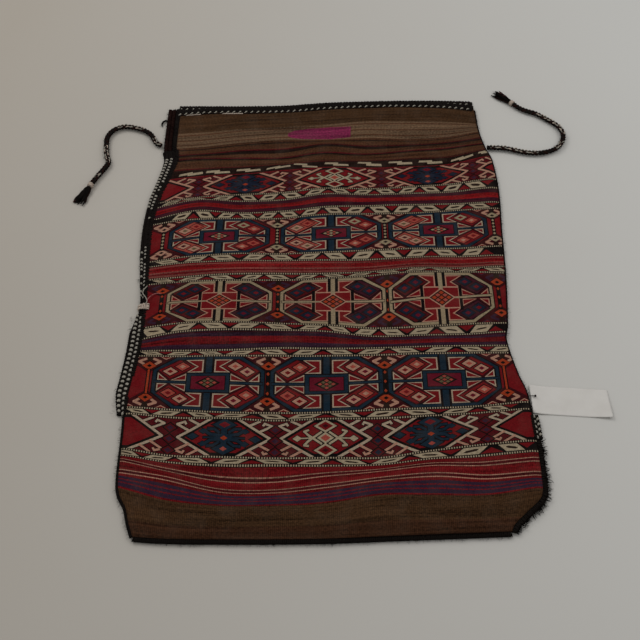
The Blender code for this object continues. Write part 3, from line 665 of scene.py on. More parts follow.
def lattice_core(x, level, stretch, put):
    """A cream lattice of crossed bars, with a red diamond above and below."""
    for rim, tone in ((2.6, "black"), (0.0, "cream")):
        for turn in SIDES:
            patch(put([(-17 - rim, 21), (0, 33), (17 + rim, 21), (0, 9 - rim)], 1, turn), tone)
            for points, width in (([(6, 10), (26, -6)], 3.2), ([(6, -10), (26, 6)], 3.2),
                                  ([(20, 0), (38, 0)], 2.0), ([(24, 4), (31, 12), (25, 14)], 3.2),
                                  ([(24, -4), (31, -12), (25, -13)], 3.2)):
                line(put(points, turn), width + rim, tone)
            diamond(x + turn * 41, level, 7.0 + rim * 0.7, (5.4 + rim * 0.5) * stretch, tone)
        diamond(x, level, 12.5 + rim * 0.7, (10 + rim * 0.5) * stretch, tone)
    for turn in SIDES:
        patch(put([(-11.5, 21), (0, 29), (11.5, 21), (0, 13)], 1, turn), "red")
        diamond(x, level + turn * 21 * stretch, 5, 3.4 * stretch, "maroon")
    diamond(x, level, 7.5, 6.0 * stretch, "salmon")


def winged_core(x, level, stretch, put, dyed):
    """Three diamonds one above the other in dark blue, with a pair of hooks on each side."""
    for rim, tone in ((3.0, "black"), (0.0, dyed)):
        diamond(x, level + 22 * stretch, 18 + rim, (11 + rim * 0.6) * stretch, tone)
        diamond(x, level - 20 * stretch, 17 + rim, (10.5 + rim * 0.6) * stretch, tone)
        line(put([(0, 14), (0, -14)]), 8.5 + rim, tone)
        diamond(x, level - 1 * stretch, 15 + rim, (9 + rim * 0.6) * stretch, tone)
        line(put([(-30, 0), (30, -1)]), 2.0 + rim, tone)
        for turn_x in SIDES:
            for turn_y in SIDES:
                line(put([(6, 3), (20, 5), (27, 10.5), (32, 12.5)], turn_x, turn_y), 4.4 + rim, tone)
                line(put([(7, 8), (15, 14.5), (24, 15)], turn_x, turn_y), 3.8 + rim, tone)
                patch(put([(25 - rim * 0.4, 9), (31, 6.5 - rim * 0.4), (37 + rim * 0.6, 11),
                           (32, 15.5 + rim * 0.4), (26, 14.5)], turn_x, turn_y), tone)
            diamond(x + turn_x * 46, level - turn_x * 2.0, 8.5 + rim * 0.8,
                    (6.0 + rim * 0.6) * stretch, tone)
    eye(x, level + 22 * stretch, stretch, (8.5, 5.4, "red"), (4.0, 2.6, "crimson"))
    for rise, colour in ((-1.5, "orange"), (-20, "salmon")):
        diamond(x, level + rise * stretch, 5.4, 4.0 * stretch, colour)


def diamond_column(x, low_name, high_name, colour):
    """Small diamonds one above the other between two long ones."""
    level, stretch = middle_of(low_name, high_name, HOOKED_HEIGHT)
    for rise in (-24, -4, 16):
        eye(x, level + rise * stretch, stretch, (12.5, 10.5, "black"), (9.6, 8.0, "oxblood"),
            (5.4, 4.6, colour))


# %% [markdown]
# ### The bands, from the bottom edge to the mouth
# The bag is read here as it was woven, band by band upwards. A later patch covers an earlier
# one, so every band starts with its ground. Stripes are given as shares of the way from one
# weft line to the next.
# %% The hem and the thin stripes
def between(low_name, high_name, share):
    """A level on the way from one weft line to another."""
    return LEVEL[low_name] + (LEVEL[high_name] - LEVEL[low_name]) * share


def ground_band(low_name, high_name, colour, weave=BROCADE):
    """The ground between two weft lines."""
    field(LEVEL[low_name], LEVEL[high_name], colour, weave)


def stripes(low_name, high_name, *rows, weave=RIBBED):
    """Plain stripes between two weft lines: where each starts and ends, and its dye."""
    for low_share, high_share, colour in rows:
        field(between(low_name, high_name, low_share), between(low_name, high_name, high_share),
              colour, weave)


BELOW_HEM = LEVEL["bottom"] - 8
field(BELOW_HEM, LEVEL["thin_red"], "brown")
field(BELOW_HEM, between("bottom", "thin_red", 0.36), "peat")
ground_band("thin_red", "leaf_1", "red", RIBBED)
field(LEVEL["thin_red"] + 2.5, between("thin_red", "cream_pair_low", 0.72), "purple", SPECKLED)
stripes("thin_red", "cream_pair_low", (0.30, 0.37, "red"), (0.50, 0.57, "red"), weave=SPECKLED)
for name in ("cream_pair_low", "cream_pair_high"):
    field(LEVEL[name] - 3.6, LEVEL[name] + 3.6, "oxblood")
    for offset in (-2.6, 2.6):
        field(LEVEL[name] + offset - 0.7, LEVEL[name] + offset + 0.7, "rose")
print("patches up to the thin stripes:", len(PATCHES))


# %% The lower band of long diamonds
def hooked_row(low_name, high_name, border, figures, columns):
    """A band of long diamonds, with columns of small ones between them."""
    ground_band(low_name, high_name, "oxblood")
    for place, half, core in figures:
        hooked(place, low_name, high_name, half, core, border)
    for place, colour in columns:
        diamond_column(place, low_name, high_name, colour)


hooked_row("hooked_low", "leaf_2", "ivory",
           ((-299, 68, "plain"), (-140, 68, "blue"), (8, 66, "lattice"), (162, 68, "blue"),
            (321, 68, "plain")),
           ((-220, "purple"), (-65, "purple"), (84, "navy"), (244, "purple")))
print("patches up to the lower long diamonds:", len(PATCHES))

# %% The three bands of octagons, and the stripes between them
ground_band("blue_low", "leaf_3", "red")
for place, count in ((-263, 0), (-79, 3), (99, 3), (283, 0)):
    joint(place, "blue_low", "leaf_3", "orange", "orange", "rose", count)
BLUE_EYES = (("black", "rose", "red"), ("black", "salmon", "rose"), ("black", "rose", "crimson"),
             ("black", "rose", "salmon"), ("black", "salmon", "red"))
for place in (-170, 10, 189):
    octagon(place, "blue_low", "leaf_3", "blue", ("red",), BLUE_EYES, 0.0, ("salmon", "olive"))

ground_band("purple", "leaf_4", "purple", RIBBED)
stripes("purple", "leaf_4", (0.30, 0.66, "red"), (0.84, 0.90, "maroon"))

ground_band("cream", "leaf_5", "red")
for place in (-257, -68, 110, 292):
    joint(place, "cream", "leaf_5", "orange", "orange", "purple")
PALE_EYES = (("umber", "navy", "red"), ("umber", "navy", "crimson"))
for place, crooked in ((-163, 0.0), (21, 0.0), (197, 0.5)):
    octagon(place, "cream", "leaf_5", "tan", ("oxblood", "wine"), PALE_EYES, crooked)

ground_band("pink", "leaf_6", "dusty_pink", RIBBED)
stripes("pink", "leaf_6", (0.0, 0.10, "red"), (0.22, 0.34, "red"), (0.44, 0.76, "bright_red"),
        (0.86, 0.94, "red"))

ground_band("blue_high", "leaf_7", "red")
for place, jewel in ((-268, "rose"), (-73, "tan"), (111, "tan"), (300, "tan")):
    joint(place, "blue_high", "leaf_7", "tan", jewel, "rose", 5)
HIGH_EYES = (("maroon", "rose", "olive"), ("maroon", "salmon", "red"), ("maroon", "salmon", "rose"),
             ("maroon", "tan", "red"), ("maroon", "rose", "maroon"))
for place, crooked in ((-172, 0.35), (19, 0.0), (203, 0.0)):
    octagon(place, "blue_high", "leaf_7", "blue", ("salmon", "red"), HIGH_EYES, crooked,
            ("tan", "salmon"))

ground_band("maroon", "leaf_8", "wine", RIBBED)
stripes("maroon", "leaf_8", (0.34, 0.68, "bright_red"))
print("patches up to the octagons:", len(PATCHES))


# %% The upper long diamonds and the broken bars
def broken_bar(x, level, rise=0.0, half=22.0):
    """Two short bars that overlap in the middle, like a flattened Z."""
    patch([(x - half, level + 0.5 - rise), (x + 3, level + 0.5), (x + 3, level + 5.2),
           (x - half + 1.5, level + 5.0 - rise)], "cream")
    patch([(x - 6, level - 3.6), (x + half, level - 3.4 + rise),
           (x + half - 1, level + 1.4 + rise), (x - 6, level + 1.8)], "cream")


hooked_row("hooked_high", "dash_low", "rose",
           ((-294, 68, "plain"), (-133, 74, "navy"), (26, 72, "lattice"), (193, 74, "navy"),
            (356, 68, "plain")),
           ((-217, "purple"), (-54, "purple"), (110, "purple"), (277, "purple")))
field(LEVEL["dash_low"] - 1.0, LEVEL["dash_middle"] + 9.0, "umber")
field(LEVEL["dash_low"] - 1.0, LEVEL["dash_low"] + 1.0, "red")
for place, rise in ((-233, 3), (-184, 0), (-129, 0.5), (-75, 4), (-26, -5), (30, -1), (90, -2),
                    (146, 0), (201, 0.5), (260, 3)):
    broken_bar(place, LEVEL["dash_middle"], rise)
broken_bar(303, LEVEL["dash_middle"] + 2, 1.0, 12.0)
print("patches up to the broken bars:", len(PATCHES))

# %% The brown ground below the mouth, with its stripes and its block
field(LEVEL["dash_middle"] + 9.0, LEVEL["mouth"] + 8, "brown")
stripes("dash_middle", "dark_low", (0.30, 0.36, "oxblood"), (0.36, 0.78, "earth"),
        (0.88, 1.00, "umber"))
stripes("dark_low", "dark_high", (0.00, 0.18, "oxblood"), (0.18, 0.72, "earth"),
        (0.80, 1.00, "umber"))
stripes("dark_high", "taupe_low", (0.00, 0.14, "umber"), (0.14, 0.24, "oxblood"),
        (0.24, 0.62, "earth"), (0.70, 0.80, "umber"), (0.80, 1.00, "earth"))
ground_band("taupe_low", "taupe_high", "taupe", RIBBED)
stripes("taupe_low", "taupe_high", (0.16, 0.22, "earth"), (0.46, 0.52, "earth"),
        (0.82, 0.88, "earth"))
block_low = between("taupe_low", "taupe_high", 0.04)
block_high = between("taupe_low", "taupe_high", 0.78)
patch([(-60, block_low + 9), (-52, block_low + 4), (-30, block_low + 1), (20, block_low - 1),
       (57, block_low + 2), (58, block_high - 2), (20, block_high + 1), (-20, block_high),
       (-48, block_high - 4), (-59, block_high - 11)], "magenta", RIBBED)
print("patches up to the mouth:", len(PATCHES))

# %% The leaf borders, where each pair of bands meets
LEAF_BORDERS = (
    ("leaf_1", "hooked_low", (-280, -233, -183, -127, -68, -10, 45, 98, 158, 218, 278), 1.0, -1),
    ("leaf_2", "blue_low", (-272, -228, -177, -130, -70, -22, 38, 92, 147, 205, 262), 1.0, -1),
    ("leaf_3", "purple", (-262, -218, -170, -124, -72, -21, 30, 80, 132, 185, 238, 284), 0.8, -1),
    ("leaf_4", "cream", (-264, -216, -168, -118, -66, -14, 30, 72, 114, 160, 208, 256), 0.9, -1),
    ("leaf_5", "pink", (-258, -212, -162, -112, -70, -22, 22, 66, 112, 160, 204, 248, 292), 0.7, -1),
    ("leaf_6", "blue_high", (-256, -208, -162, -110, -65, -18, 26, 72, 118, 164, 210, 258), 1.1, -1),
    ("leaf_7", "maroon",
     (-240, -200, -162, -126, -90, -54, -16, 24, 62, 104, 146, 190, 236, 280), 1.6, 1),
    ("leaf_8", "hooked_high",
     (-262, -222, -170, -126, -90, -50, -8, 36, 76, 116, 156, 196, 236, 278), 1.6, 1),
)
for low_name, high_name, middles, slit, first_lean in LEAF_BORDERS:
    leaf_border(low_name, high_name, middles, slit, first_lean)
print("patches drawn:", len(PATCHES))

# %% [markdown]
# ## The front panel
# The patches and the outline of the cloth are cut into one flat sheet of triangles, which
# keeps every border crisp without a texture. Each triangle takes the dye of the last patch
# that covers it. Then the sheet is bent along the weft lines, lifted by the air in the
# pouch, and closed with an underside.


# %% Cut the patches into one sheet
EDGE_ROWS, BOTTOM_STEPS, TOP_STEPS = 175, 110, 120


def cloth_outline():
    """Bottom, right, top and left side of the front on the straight pattern, in turn."""
    def edge_x(level, side):
        x = np.array([-285.0 if side == 0 else 300.0])
        for _ in range(6):
            _, y = lay(x, level)
            x = edges_at(y)[side] * 1000.0 + SHIFT_X
        return float(x[0])

    low, high = LEVEL["bottom"], LEVEL["mouth"]
    levels = np.linspace(low, high, EDGE_ROWS)
    left = [(edge_x(level, 0), level) for level in levels]
    right = [(edge_x(level, 1), level) for level in levels]
    bottom = [(x, low) for x in np.linspace(left[0][0], right[0][0], BOTTOM_STEPS)[1:-1]]
    top = [(x, high) for x in np.linspace(right[-1][0], left[-1][0], TOP_STEPS)[1:-1]]
    return bottom, right, top, left[::-1]


def stepped(points, step):
    """The same outline with its long sides cut up, so that they can bend."""
    fine = []
    for (x0, y0), (x1, y1) in zip(points, points[1:] + points[:1]):
        count = max(1, ceil(((x1 - x0) ** 2 + (y1 - y0) ** 2) ** 0.5 / step))
        fine += [(x0 + (x1 - x0) * k / count, y0 + (y1 - y0) * k / count) for k in range(count)]
    return fine


def inside(points, x, y):
    """Which of many places lie inside an outline."""
    result = np.zeros(len(x), bool)
    for (x0, y0), (x1, y1) in zip(points, points[1:] + points[:1]):
        if y0 == y1:
            continue
        crossed = (y0 > y) != (y1 > y)
        result ^= crossed & (x < (x1 - x0) * (y - y0) / (y1 - y0) + x0)
    return result


GRID_STEP, EDGE_STEP = 6.5, 6.8
GRID_LEFT, GRID_WIDTH = -310, 640
WELD, SLIVER = 0.02, 1e-4
sides = cloth_outline()
outline = [point for side in sides for point in side]
flat_points, flat_edges = [], []
for points in [outline] + [points for points, _, _ in PATCHES]:
    fine = stepped(points, EDGE_STEP)
    start = len(flat_points)
    flat_points += [Vector(point) for point in fine]
    flat_edges += [(start + k, start + (k + 1) % len(fine)) for k in range(len(fine))]
for row in range(int((LEVEL["mouth"] - LEVEL["bottom"]) / GRID_STEP)):
    level = LEVEL["bottom"] + (row + 0.5) * GRID_STEP
    for column in range(int(GRID_WIDTH / GRID_STEP)):
        flat_points.append(Vector((GRID_LEFT + (column + 0.5 * (row % 2)) * GRID_STEP, level)))
cut_points, _, cut_faces, _, _, _ = delaunay_2d_cdt(flat_points, flat_edges, [], 0, WELD, False)
flat = np.array([tuple(point) for point in cut_points])
corners = np.array(cut_faces)
middles = flat[corners].mean(axis=1)
side_a = flat[corners[:, 1]] - flat[corners[:, 0]]
side_b = flat[corners[:, 2]] - flat[corners[:, 0]]
sizes = np.abs(side_a[:, 0] * side_b[:, 1] - side_a[:, 1] * side_b[:, 0])
in_cloth = inside(outline, middles[:, 0], middles[:, 1]) & (sizes > SLIVER)
corners, middles = corners[in_cloth], middles[in_cloth]
top_patch = np.full(len(corners), -1)
for index, (points, _, _) in enumerate(PATCHES):
    (low_x, low_y), (high_x, high_y) = np.min(points, axis=0), np.max(points, axis=0)
    near = np.flatnonzero((middles[:, 0] > low_x) & (middles[:, 0] < high_x)
                          & (middles[:, 1] > low_y) & (middles[:, 1] < high_y))
    top_patch[near[inside(points, middles[near, 0], middles[near, 1])]] = index
print("points:", len(flat), "triangles:", len(corners), "bare:", int((top_patch < 0).sum()))


# %% Helpers for pieces and for cloth
def finish_piece(name, bm, materials, nodes):
    """Turn a bmesh into a finished piece that rides on the bag and stands for CAD nodes."""
    mesh = bpy.data.meshes.new(name)
    bm.to_mesh(mesh)
    bm.free()
    for material in materials:
        mesh.materials.append(material)
    mesh.shade_smooth()
    piece = put_in_scene(name, mesh)
    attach(piece, "root")
    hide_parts(*nodes)
    mesh.calc_loop_triangles()
    print(name, "triangles:", len(mesh.loop_triangles))
    return piece


def cloth_layers(bm):
    """The map of a cloth, its dye and its weave, one value for every corner of a face."""
    loops = bm.loops.layers
    return loops.uv.new("cloth"), loops.float_color.new("dye"), loops.float.new("weave")


def dye_corner(loop, layers, place, colour, weave=RIBBED):
    """Give a corner of a face its place on the map, its dye and its weave."""
    loop[layers[0]].uv = place
    loop[layers[1]] = (*DYES[colour], 1.0)
    loop[layers[2]] = weave


def side_places(levels):
    """Where the left and the right side of the straight pattern lie, at many levels."""
    return [np.interp(levels, [level for _, level in side], [x for x, _ in side])
            for side in (sides[3][::-1], sides[1])]


def thickened(bm):
    """Extrude a copy of a sheet, and give the copy's corners, which become the lower side."""
    raised = bmesh.ops.extrude_face_region(bm, geom=list(bm.faces), use_keep_orig=True)
    return [item for item in raised["geom"] if isinstance(item, bmesh.types.BMVert)]


# %% Bend the sheet and close it
ground_x, ground_y = lay(flat[:, 0], flat[:, 1])
heights = FRONT_TOP + puff(ground_x, ground_y) + creased(ground_x, ground_y)
front_bm = bmesh.new()
layers = cloth_layers(front_bm)
corner = {index: front_bm.verts.new((ground_x[index], ground_y[index], heights[index]))
          for index in np.unique(corners)}
for face, index in zip(corners, top_patch):
    made = front_bm.faces.new([corner[place] for place in face])
    colour, weave = PATCHES[index][1:] if index >= 0 else ("umber", RIBBED)
    for loop, place in zip(made.loops, face):
        dye_corner(loop, layers, flat[place] / 1000 + (0.35, 0.40), colour, weave)
bmesh.ops.recalc_face_normals(front_bm, faces=front_bm.faces)
if sum(face.normal.z for face in front_bm.faces) < 0:
    bmesh.ops.reverse_faces(front_bm, faces=front_bm.faces)

UNDER_COLUMNS, UNDER_ROWS, HAIRBREADTH = 44, 64, 0.00002
rim = [edge for edge in front_bm.edges if edge.is_boundary]
under = bmesh.ops.create_grid(front_bm, x_segments=UNDER_COLUMNS, y_segments=UNDER_ROWS, size=1.0)
under_levels = np.linspace(LEVEL["bottom"], LEVEL["mouth"], UNDER_ROWS + 1)
left_x, right_x = side_places(under_levels)
for vert in under["verts"]:
    u = (vert.co.x + 1) / 2
    row = round((vert.co.y + 1) / 2 * UNDER_ROWS)
    x, y = lay(left_x[row] + (right_x[row] - left_x[row]) * u, under_levels[row])
    vert.co = (x[0], y[0], FRONT_UNDERSIDE + HAIRBREADTH + float(puff(x, y)[0]))
under_faces = {face for vert in under["verts"] for face in vert.link_faces}
bmesh.ops.reverse_faces(front_bm, faces=list(under_faces))
under_edges = {edge for face in under_faces for edge in face.edges}
lower_rim = [edge for edge in under_edges if edge.is_boundary]
joined = bmesh.ops.bridge_loops(front_bm, edges=rim + lower_rim)
for face in list(under_faces) + joined["faces"]:
    for loop in face.loops:
        dye_corner(loop, layers, (loop.vert.co.x + 0.35, loop.vert.co.y + 0.45), "umber")
bmesh.ops.triangulate(front_bm, faces=joined["faces"])
bmesh.ops.recalc_face_normals(front_bm, faces=front_bm.faces)
print("the front's sheet and underside, faces:", len(front_bm.faces))

# %% [markdown]
# ### The finish of woven wool
# The dye comes from the sheet itself. On top of it lie the marks of hand spinning: each
# pass of the weft is a little lighter or darker, the warps show as close upright ribs in the
# plain stripes with painted shade in their grooves, the brocade is wrapped at a slant, and
# dust has dulled it all.


# %% Woven wool
WARP_PITCH, WEFT_PITCH = 0.0027, 0.0011
DOT_PITCH, DOT_SHARE = 0.0038, 0.48


def woven_finish(name):
    """Wool whose dye and weave come from the piece's own attributes."""
    material, shader, wire = new_finish(name, 0.95)
    place = wire.node("ShaderNodeUVMap", {"uv_map": "cloth"})
    colour = wire.node("ShaderNodeAttribute", {"attribute_name": "dye"})
    weave = wire.node("ShaderNodeAttribute", {"attribute_name": "weave"}, output=2)
    across, along = place.axis(0), place.axis(1)
    ribbed, dotted = weave.between(0.5, 1.5), weave.between(1.5, 2.5)
    speckled = weave.between(2.5, 3.5)
    brocade = 1.0 - weave.math("MINIMUM", 1.0)

    # Dots of two dyes along a border, and dark specks in the thin stripes
    dots = (across * (1 / DOT_PITCH)).math("FRACT").between(0.0, DOT_SHARE)
    specks = place.streaks(420, 900, detail=1.0).between(0.52, 1.0)
    colour = colour.blend(DYES["black"], dotted * (1.0 - dots))
    colour = colour.blend(DYES["navy"], speckled * specks * 0.7)

    # Lighter and darker passes of the weft, single yarns, uneven dye, and painted shade in the grooves
    # between the upright ribs
    ribs = (across + place.streaks(60, 25) * 0.0011).wave(WARP_PITCH)
    passes = place.streaks(14, 900, detail=3.0)
    yarns = place.streaks(270, 430)
    abrash = place.streaks(5, 34)
    streaks = place.streaks(6, 210, detail=4.0, distortion=0.6)
    tone = 0.17 + passes * 0.40 + yarns * 1.00 + abrash * 0.22 + ribbed * (streaks - 0.5) * 2.2
    tone = tone + ribbed * (yarns - 0.5) * 0.9
    # Painted shade: the plain stripes darken in the grooves between the warp ribs
    tone = tone * (1.0 - ribbed * (1.0 - ribs) * 0.34)
    dusty = (place.noise(38.0, 5.0) - 0.45).math("MAXIMUM", 0.0) * 0.22
    colour = colour.shaded(tone).blend(dye(120, 104, 90), dusty)

    # The same marks as bumps
    slant = (across + along * 0.6).wave(0.0013)
    picks = along.wave(WEFT_PITCH)
    height = ribbed * (ribs * 0.8 + picks * 0.25) + brocade * (slant * 0.35 + picks * 0.25 + 0.5)
    height = height + dotted * (dots * 0.6 + 0.3) + yarns * 0.5
    connect(shader, wire, colour, height, 0.0006)
    return material


wool_front = woven_finish("brocaded_wool_cloth")
front_cloth = finish_piece("front_cloth", front_bm, [wool_front], ["front_panel"])

# %% [markdown]
# ## The back panel
# The back is plain brown weft-faced wool with a few thin stripes. It shows as a narrow lip
# past the front at the mouth, and inside the mouth. A grid takes the outline of the cloth,
# and one extrusion gives it its thickness.
# %% Back panel
BACK_THICKNESS, BACK_LIFT, LIP = 0.0026, 0.0001, 0.016
BACK_COLUMNS, BACK_ROWS, LIP_ROWS = 60, 110, 4
BACK_STRIPES = ((0.05, 0.07, "maroon"), (0.18, 0.20, "umber"), (0.205, 0.215, "taupe"),
                (0.40, 0.42, "maroon"), (0.60, 0.62, "umber"), (0.80, 0.82, "maroon"),
                (0.94, 0.955, "umber"), (0.985, 0.995, "maroon"))
back_bm = bmesh.new()
layers = cloth_layers(back_bm)
bmesh.ops.create_grid(back_bm, x_segments=BACK_COLUMNS, y_segments=BACK_ROWS, size=1.0)
back_levels = np.linspace(LEVEL["bottom"], LEVEL["mouth"], BACK_ROWS + 1 - LIP_ROWS)
left_x, right_x = side_places(back_levels)
for face in back_bm.faces:
    share = (face.calc_center_median().y + 1) / 2
    colour = next((name for low, high, name in BACK_STRIPES if low <= share <= high), "brown")
    for loop in face.loops:
        place = (0.04 + (loop.vert.co.x + 1) * 0.3, 0.05 + (loop.vert.co.y + 1) * 0.43)
        dye_corner(loop, layers, place, colour)
for vert in back_bm.verts:
    u = (vert.co.x + 1) / 2
    row = round((vert.co.y + 1) / 2 * BACK_ROWS)
    inner = min(row, BACK_ROWS - LIP_ROWS)
    x, y = lay(left_x[inner] + (right_x[inner] - left_x[inner]) * u, back_levels[inner])
    beyond = (row - inner) / LIP_ROWS
    lift = 0.0004 * sin(38.0 * u) * beyond
    vert.co = (x[0], y[0] + LIP * beyond, BACK_THICKNESS + lift)
for vert in thickened(back_bm):
    vert.co.z = BACK_LIFT
bmesh.ops.recalc_face_normals(back_bm, faces=back_bm.faces)
back_cloth = finish_piece("back_cloth", back_bm, [wool_front], ["back_panel"])

# %% [markdown]
# ## Yarn
# Seams, ties and tassels are all yarn. A tube is a grid rolled up: its columns become the
# sides and its rows the steps along the yarn. The grid's own coordinates become the map on
# which the twist of the yarn is drawn, as bumps and as painted shade between the strands.


# %% Rolling a tube along a path
def join(bm, part):
    """Add a small body to a piece. Small bodies are quick to model on their own."""
    mesh = bpy.data.meshes.new("part")
    part.to_mesh(mesh)
    part.free()
    bm.from_mesh(mesh)
    bpy.data.meshes.remove(mesh)


def skin(bm, rings, material=0, spacing=0.001):
    """Close a stack of equal rings of points into one capped body."""
    part = bmesh.new()
    uv = part.loops.layers.uv.new("yarn")
    side_count, step_count = len(rings[0]), len(rings) - 1
    bmesh.ops.create_grid(part, x_segments=side_count, y_segments=step_count, size=1.0)
    for face in part.faces:
        for loop in face.loops:
            loop[uv].uv = ((loop.vert.co.x + 1) / 2, (loop.vert.co.y + 1) / 2 * step_count * spacing)
    for vert in part.verts:
        place = round((vert.co.x + 1) / 2 * side_count) % side_count
        vert.co = rings[round((vert.co.y + 1) / 2 * step_count)][place]
    bmesh.ops.remove_doubles(part, verts=part.verts, dist=1e-8)
    bmesh.ops.holes_fill(part, edges=[edge for edge in part.edges if edge.is_boundary], sides=0)
    bmesh.ops.recalc_face_normals(part, faces=part.faces)
    for face in part.faces:
        face.material_index = material
    join(bm, part)


def tube(bm, points, radii, side_count, material=0):
    """Yarn of even or changing thickness along a list of points."""
    points = [Vector(point) for point in points]
    normal, rings = Vector((0.0, 0.0, 1.0)), []
    for index, here in enumerate(points):
        ahead, behind = points[min(index + 1, len(points) - 1)], points[max(index - 1, 0)]
        tangent = (ahead - behind).normalized()
        if abs(tangent.dot(normal)) > 0.95:
            normal = Vector((1.0, 0.0, 0.0))
        normal = (normal - tangent * tangent.dot(normal)).normalized()
        other = tangent.cross(normal)
        radius = radii[index] if isinstance(radii, (list, tuple)) else radii
        angles = [2 * pi * k / side_count for k in range(side_count)]
        rings.append([here + (normal * cos(angle) + other * sin(angle)) * radius for angle in angles])
    skin(bm, rings, material, (points[1] - points[0]).length)


# %% The finishes of hair and cotton
def yarn_finish(name, dark, light, roughness, twist):
    """Spun yarn: strands twisted round each other, with painted shade in the grooves between them, and
    loose and faded fibres.
    """
    material, shader, wire = new_finish(name, roughness)
    around_and_along = wire.node("ShaderNodeUVMap", {"uv_map": "yarn"})
    fibres = on_object(wire).streaks(900, 900, 500, detail=3.0)
    faded = on_object(wire).noise(55.0, 3.0)
    ply = (around_and_along.axis(0) * 2.0 + around_and_along.axis(1) * (1.0 / twist)).wave(1.0)
    # Painted shade: the colour darkens in the grooves between the twisted strands
    colour = two_tones(fibres * 0.45 + faded * 0.30, dark, light).shaded(ply * 0.35 + 0.65)
    connect(shader, wire, colour, ply * 0.7 + fibres * 0.5)
    return material


hair_dark = yarn_finish("dark_goat_hair", dye(9, 8, 8), dye(36, 30, 26), 0.85, 0.004)
hair_brown = yarn_finish("reddish_goat_hair", dye(17, 9, 8), dye(48, 26, 20), 0.85, 0.004)
cotton_white = yarn_finish("white_cotton", dye(118, 112, 102), dye(190, 184, 170), 0.9, 0.005)
cotton_pale = yarn_finish("pale_thread", dye(160, 143, 130), dye(204, 190, 174), 0.9, 0.004)
thread_pink = yarn_finish("pink_thread", dye(140, 84, 84), dye(176, 112, 108), 0.9, 0.004)
YARNS = [hair_dark, cotton_white, hair_brown, cotton_pale, thread_pink]
DARK, WHITE, BROWN, PALE, PINK = range(5)
print("yarns:", [yarn.name for yarn in YARNS])


# %% Lines along the edges of the bag
class Line:
    """A polyline on the ground that gives a place and its directions at a length."""

    def __init__(self, points, turn):
        self.points, self.turn = [Vector(point) for point in points], turn
        self.lengths = [0.0]
        for first, second in zip(self.points, self.points[1:]):
            self.lengths.append(self.lengths[-1] + (second - first).length)
        self.total = self.lengths[-1]

    def point(self, distance):
        """Place on the line at a length from its start."""
        distance = min(max(distance, 0.0), self.total)
        index = min(int(np.searchsorted(self.lengths, distance, side="right")) - 1,
                    len(self.points) - 2)
        share = (distance - self.lengths[index]) / (self.lengths[index + 1] - self.lengths[index])
        return self.points[index].lerp(self.points[index + 1], share)

    def frame(self, distance):
        """Place, direction along the line, and direction away from the cloth."""
        here = self.point(distance)
        along = (self.point(distance + 0.005) - self.point(distance - 0.005)).normalized()
        return here, along, Vector((along.y, -along.x, 0.0)) * self.turn

    def at_height(self, height):
        """Length at which the line reaches a height above the bag's lowest point."""
        for index, point in enumerate(self.points):
            if point.y + HALF_LENGTH >= height:
                return self.lengths[index]
        return self.total


def laid_line(points):
    """Places on the ground for points of the straight pattern."""
    x, y = lay([x for x, _ in points], [level for _, level in points])
    return [Vector((a, b, 0.0)) for a, b in zip(x, y)]


bottom_side, right_side, top_side, left_side = sides
left_points = laid_line(left_side[::-1])
left_line = Line(left_points + [left_points[-1] + Vector((0.0, LIP, 0.0))], -1)
right_line = Line(laid_line(right_side), 1)
bottom_line = Line(laid_line([left_side[-1], *bottom_side, right_side[0]]), 1)
mouth_line = Line(laid_line([left_side[0], *top_side[::-1], right_side[-1]]), -1)
print("left edge", round(left_line.total, 3), "m, right edge", round(right_line.total, 3), "m")

# %% [markdown]
# ## Braided and wrapped seams
# The side seams are closed with a chain of dark goat hair and white cotton: slanted stitches
# in two columns, white in every second place, so that white dots climb the seam in turn.
# One bent stitch is modelled once and set in place hundreds of times. Elsewhere the edge is
# wrapped with hair, turn by turn, which is a coil round the edge of the cloth.


# %% One stitch, stamped along a seam
def stitch_mesh(name, material):
    """A plump stitch, one unit long, with its ends tucked down."""
    bm = bmesh.new()
    uv = bm.loops.layers.uv.new("yarn")
    bmesh.ops.create_uvsphere(bm, u_segments=8, v_segments=6, radius=0.5)
    bmesh.ops.rotate(bm, verts=bm.verts, matrix=Matrix.Rotation(pi / 2, 3, "Y"))
    for face in bm.faces:
        face.material_index = material
        for loop in face.loops:
            loop[uv].uv = (0.5 + loop.vert.co.y, loop.vert.co.x * 0.008)
    for vert in bm.verts:
        vert.co.z -= 0.9 * vert.co.x ** 2
    mesh = bpy.data.meshes.new(name)
    bm.to_mesh(mesh)
    bm.free()
    return mesh


STITCHES = {kind: stitch_mesh(f"stitch_{kind}", kind) for kind in (DARK, WHITE)}
FLOOR_MARGIN = 0.0002
chance = Random(11)


def stamp(bm, kind, place, heading, size, tilt=0.0):
    """Set one stitch: its middle, its direction on the ground, its size and its tilt."""
    jitter = 1.0 + chance.uniform(-0.10, 0.10)
    copy = STITCHES[kind].copy()
    turn = heading + chance.uniform(-0.12, 0.12)
    copy.transform(Matrix.Translation(place) @ Matrix.Rotation(turn, 4, "Z")
                   @ Matrix.Rotation(tilt, 4, "Y")
                   @ Matrix.Diagonal((size[0] * jitter, size[1], size[2] * jitter, 1.0)))
    for vert in copy.vertices:
        vert.co.z = max(vert.co.z, FLOOR_MARGIN)
    bm.from_mesh(copy)
    bpy.data.meshes.remove(copy)


def heading_of(direction):
    """The turn of a direction on the ground."""
    return float(np.arctan2(direction.y, direction.x))


def up(height):
    """A step straight up."""
    return Vector((0.0, 0.0, height))


HAIR_STEPS, HAIR_RISE, HAIR_LOWEST = 4, 0.3, 0.0004


def hair(bm, place, outward, length, material=DARK, radius=0.00022):
    """One loose hair that curls away from a seam."""
    side = Vector((-outward.y, outward.x, 0.0)) * chance.uniform(-1.0, 1.0)
    points, radii = [], []
    for step in range(HAIR_STEPS + 1):
        t = step / HAIR_STEPS
        point = place + outward * (length * t) + side * (length * 0.6 * t * t)
        point.z = max(HAIR_LOWEST, place.z + length * HAIR_RISE * (t - 1.5 * t * t))
        points.append(point)
        radii.append(radius * (1.0 - 0.6 * t))
    tube(bm, points, radii, 3, material)


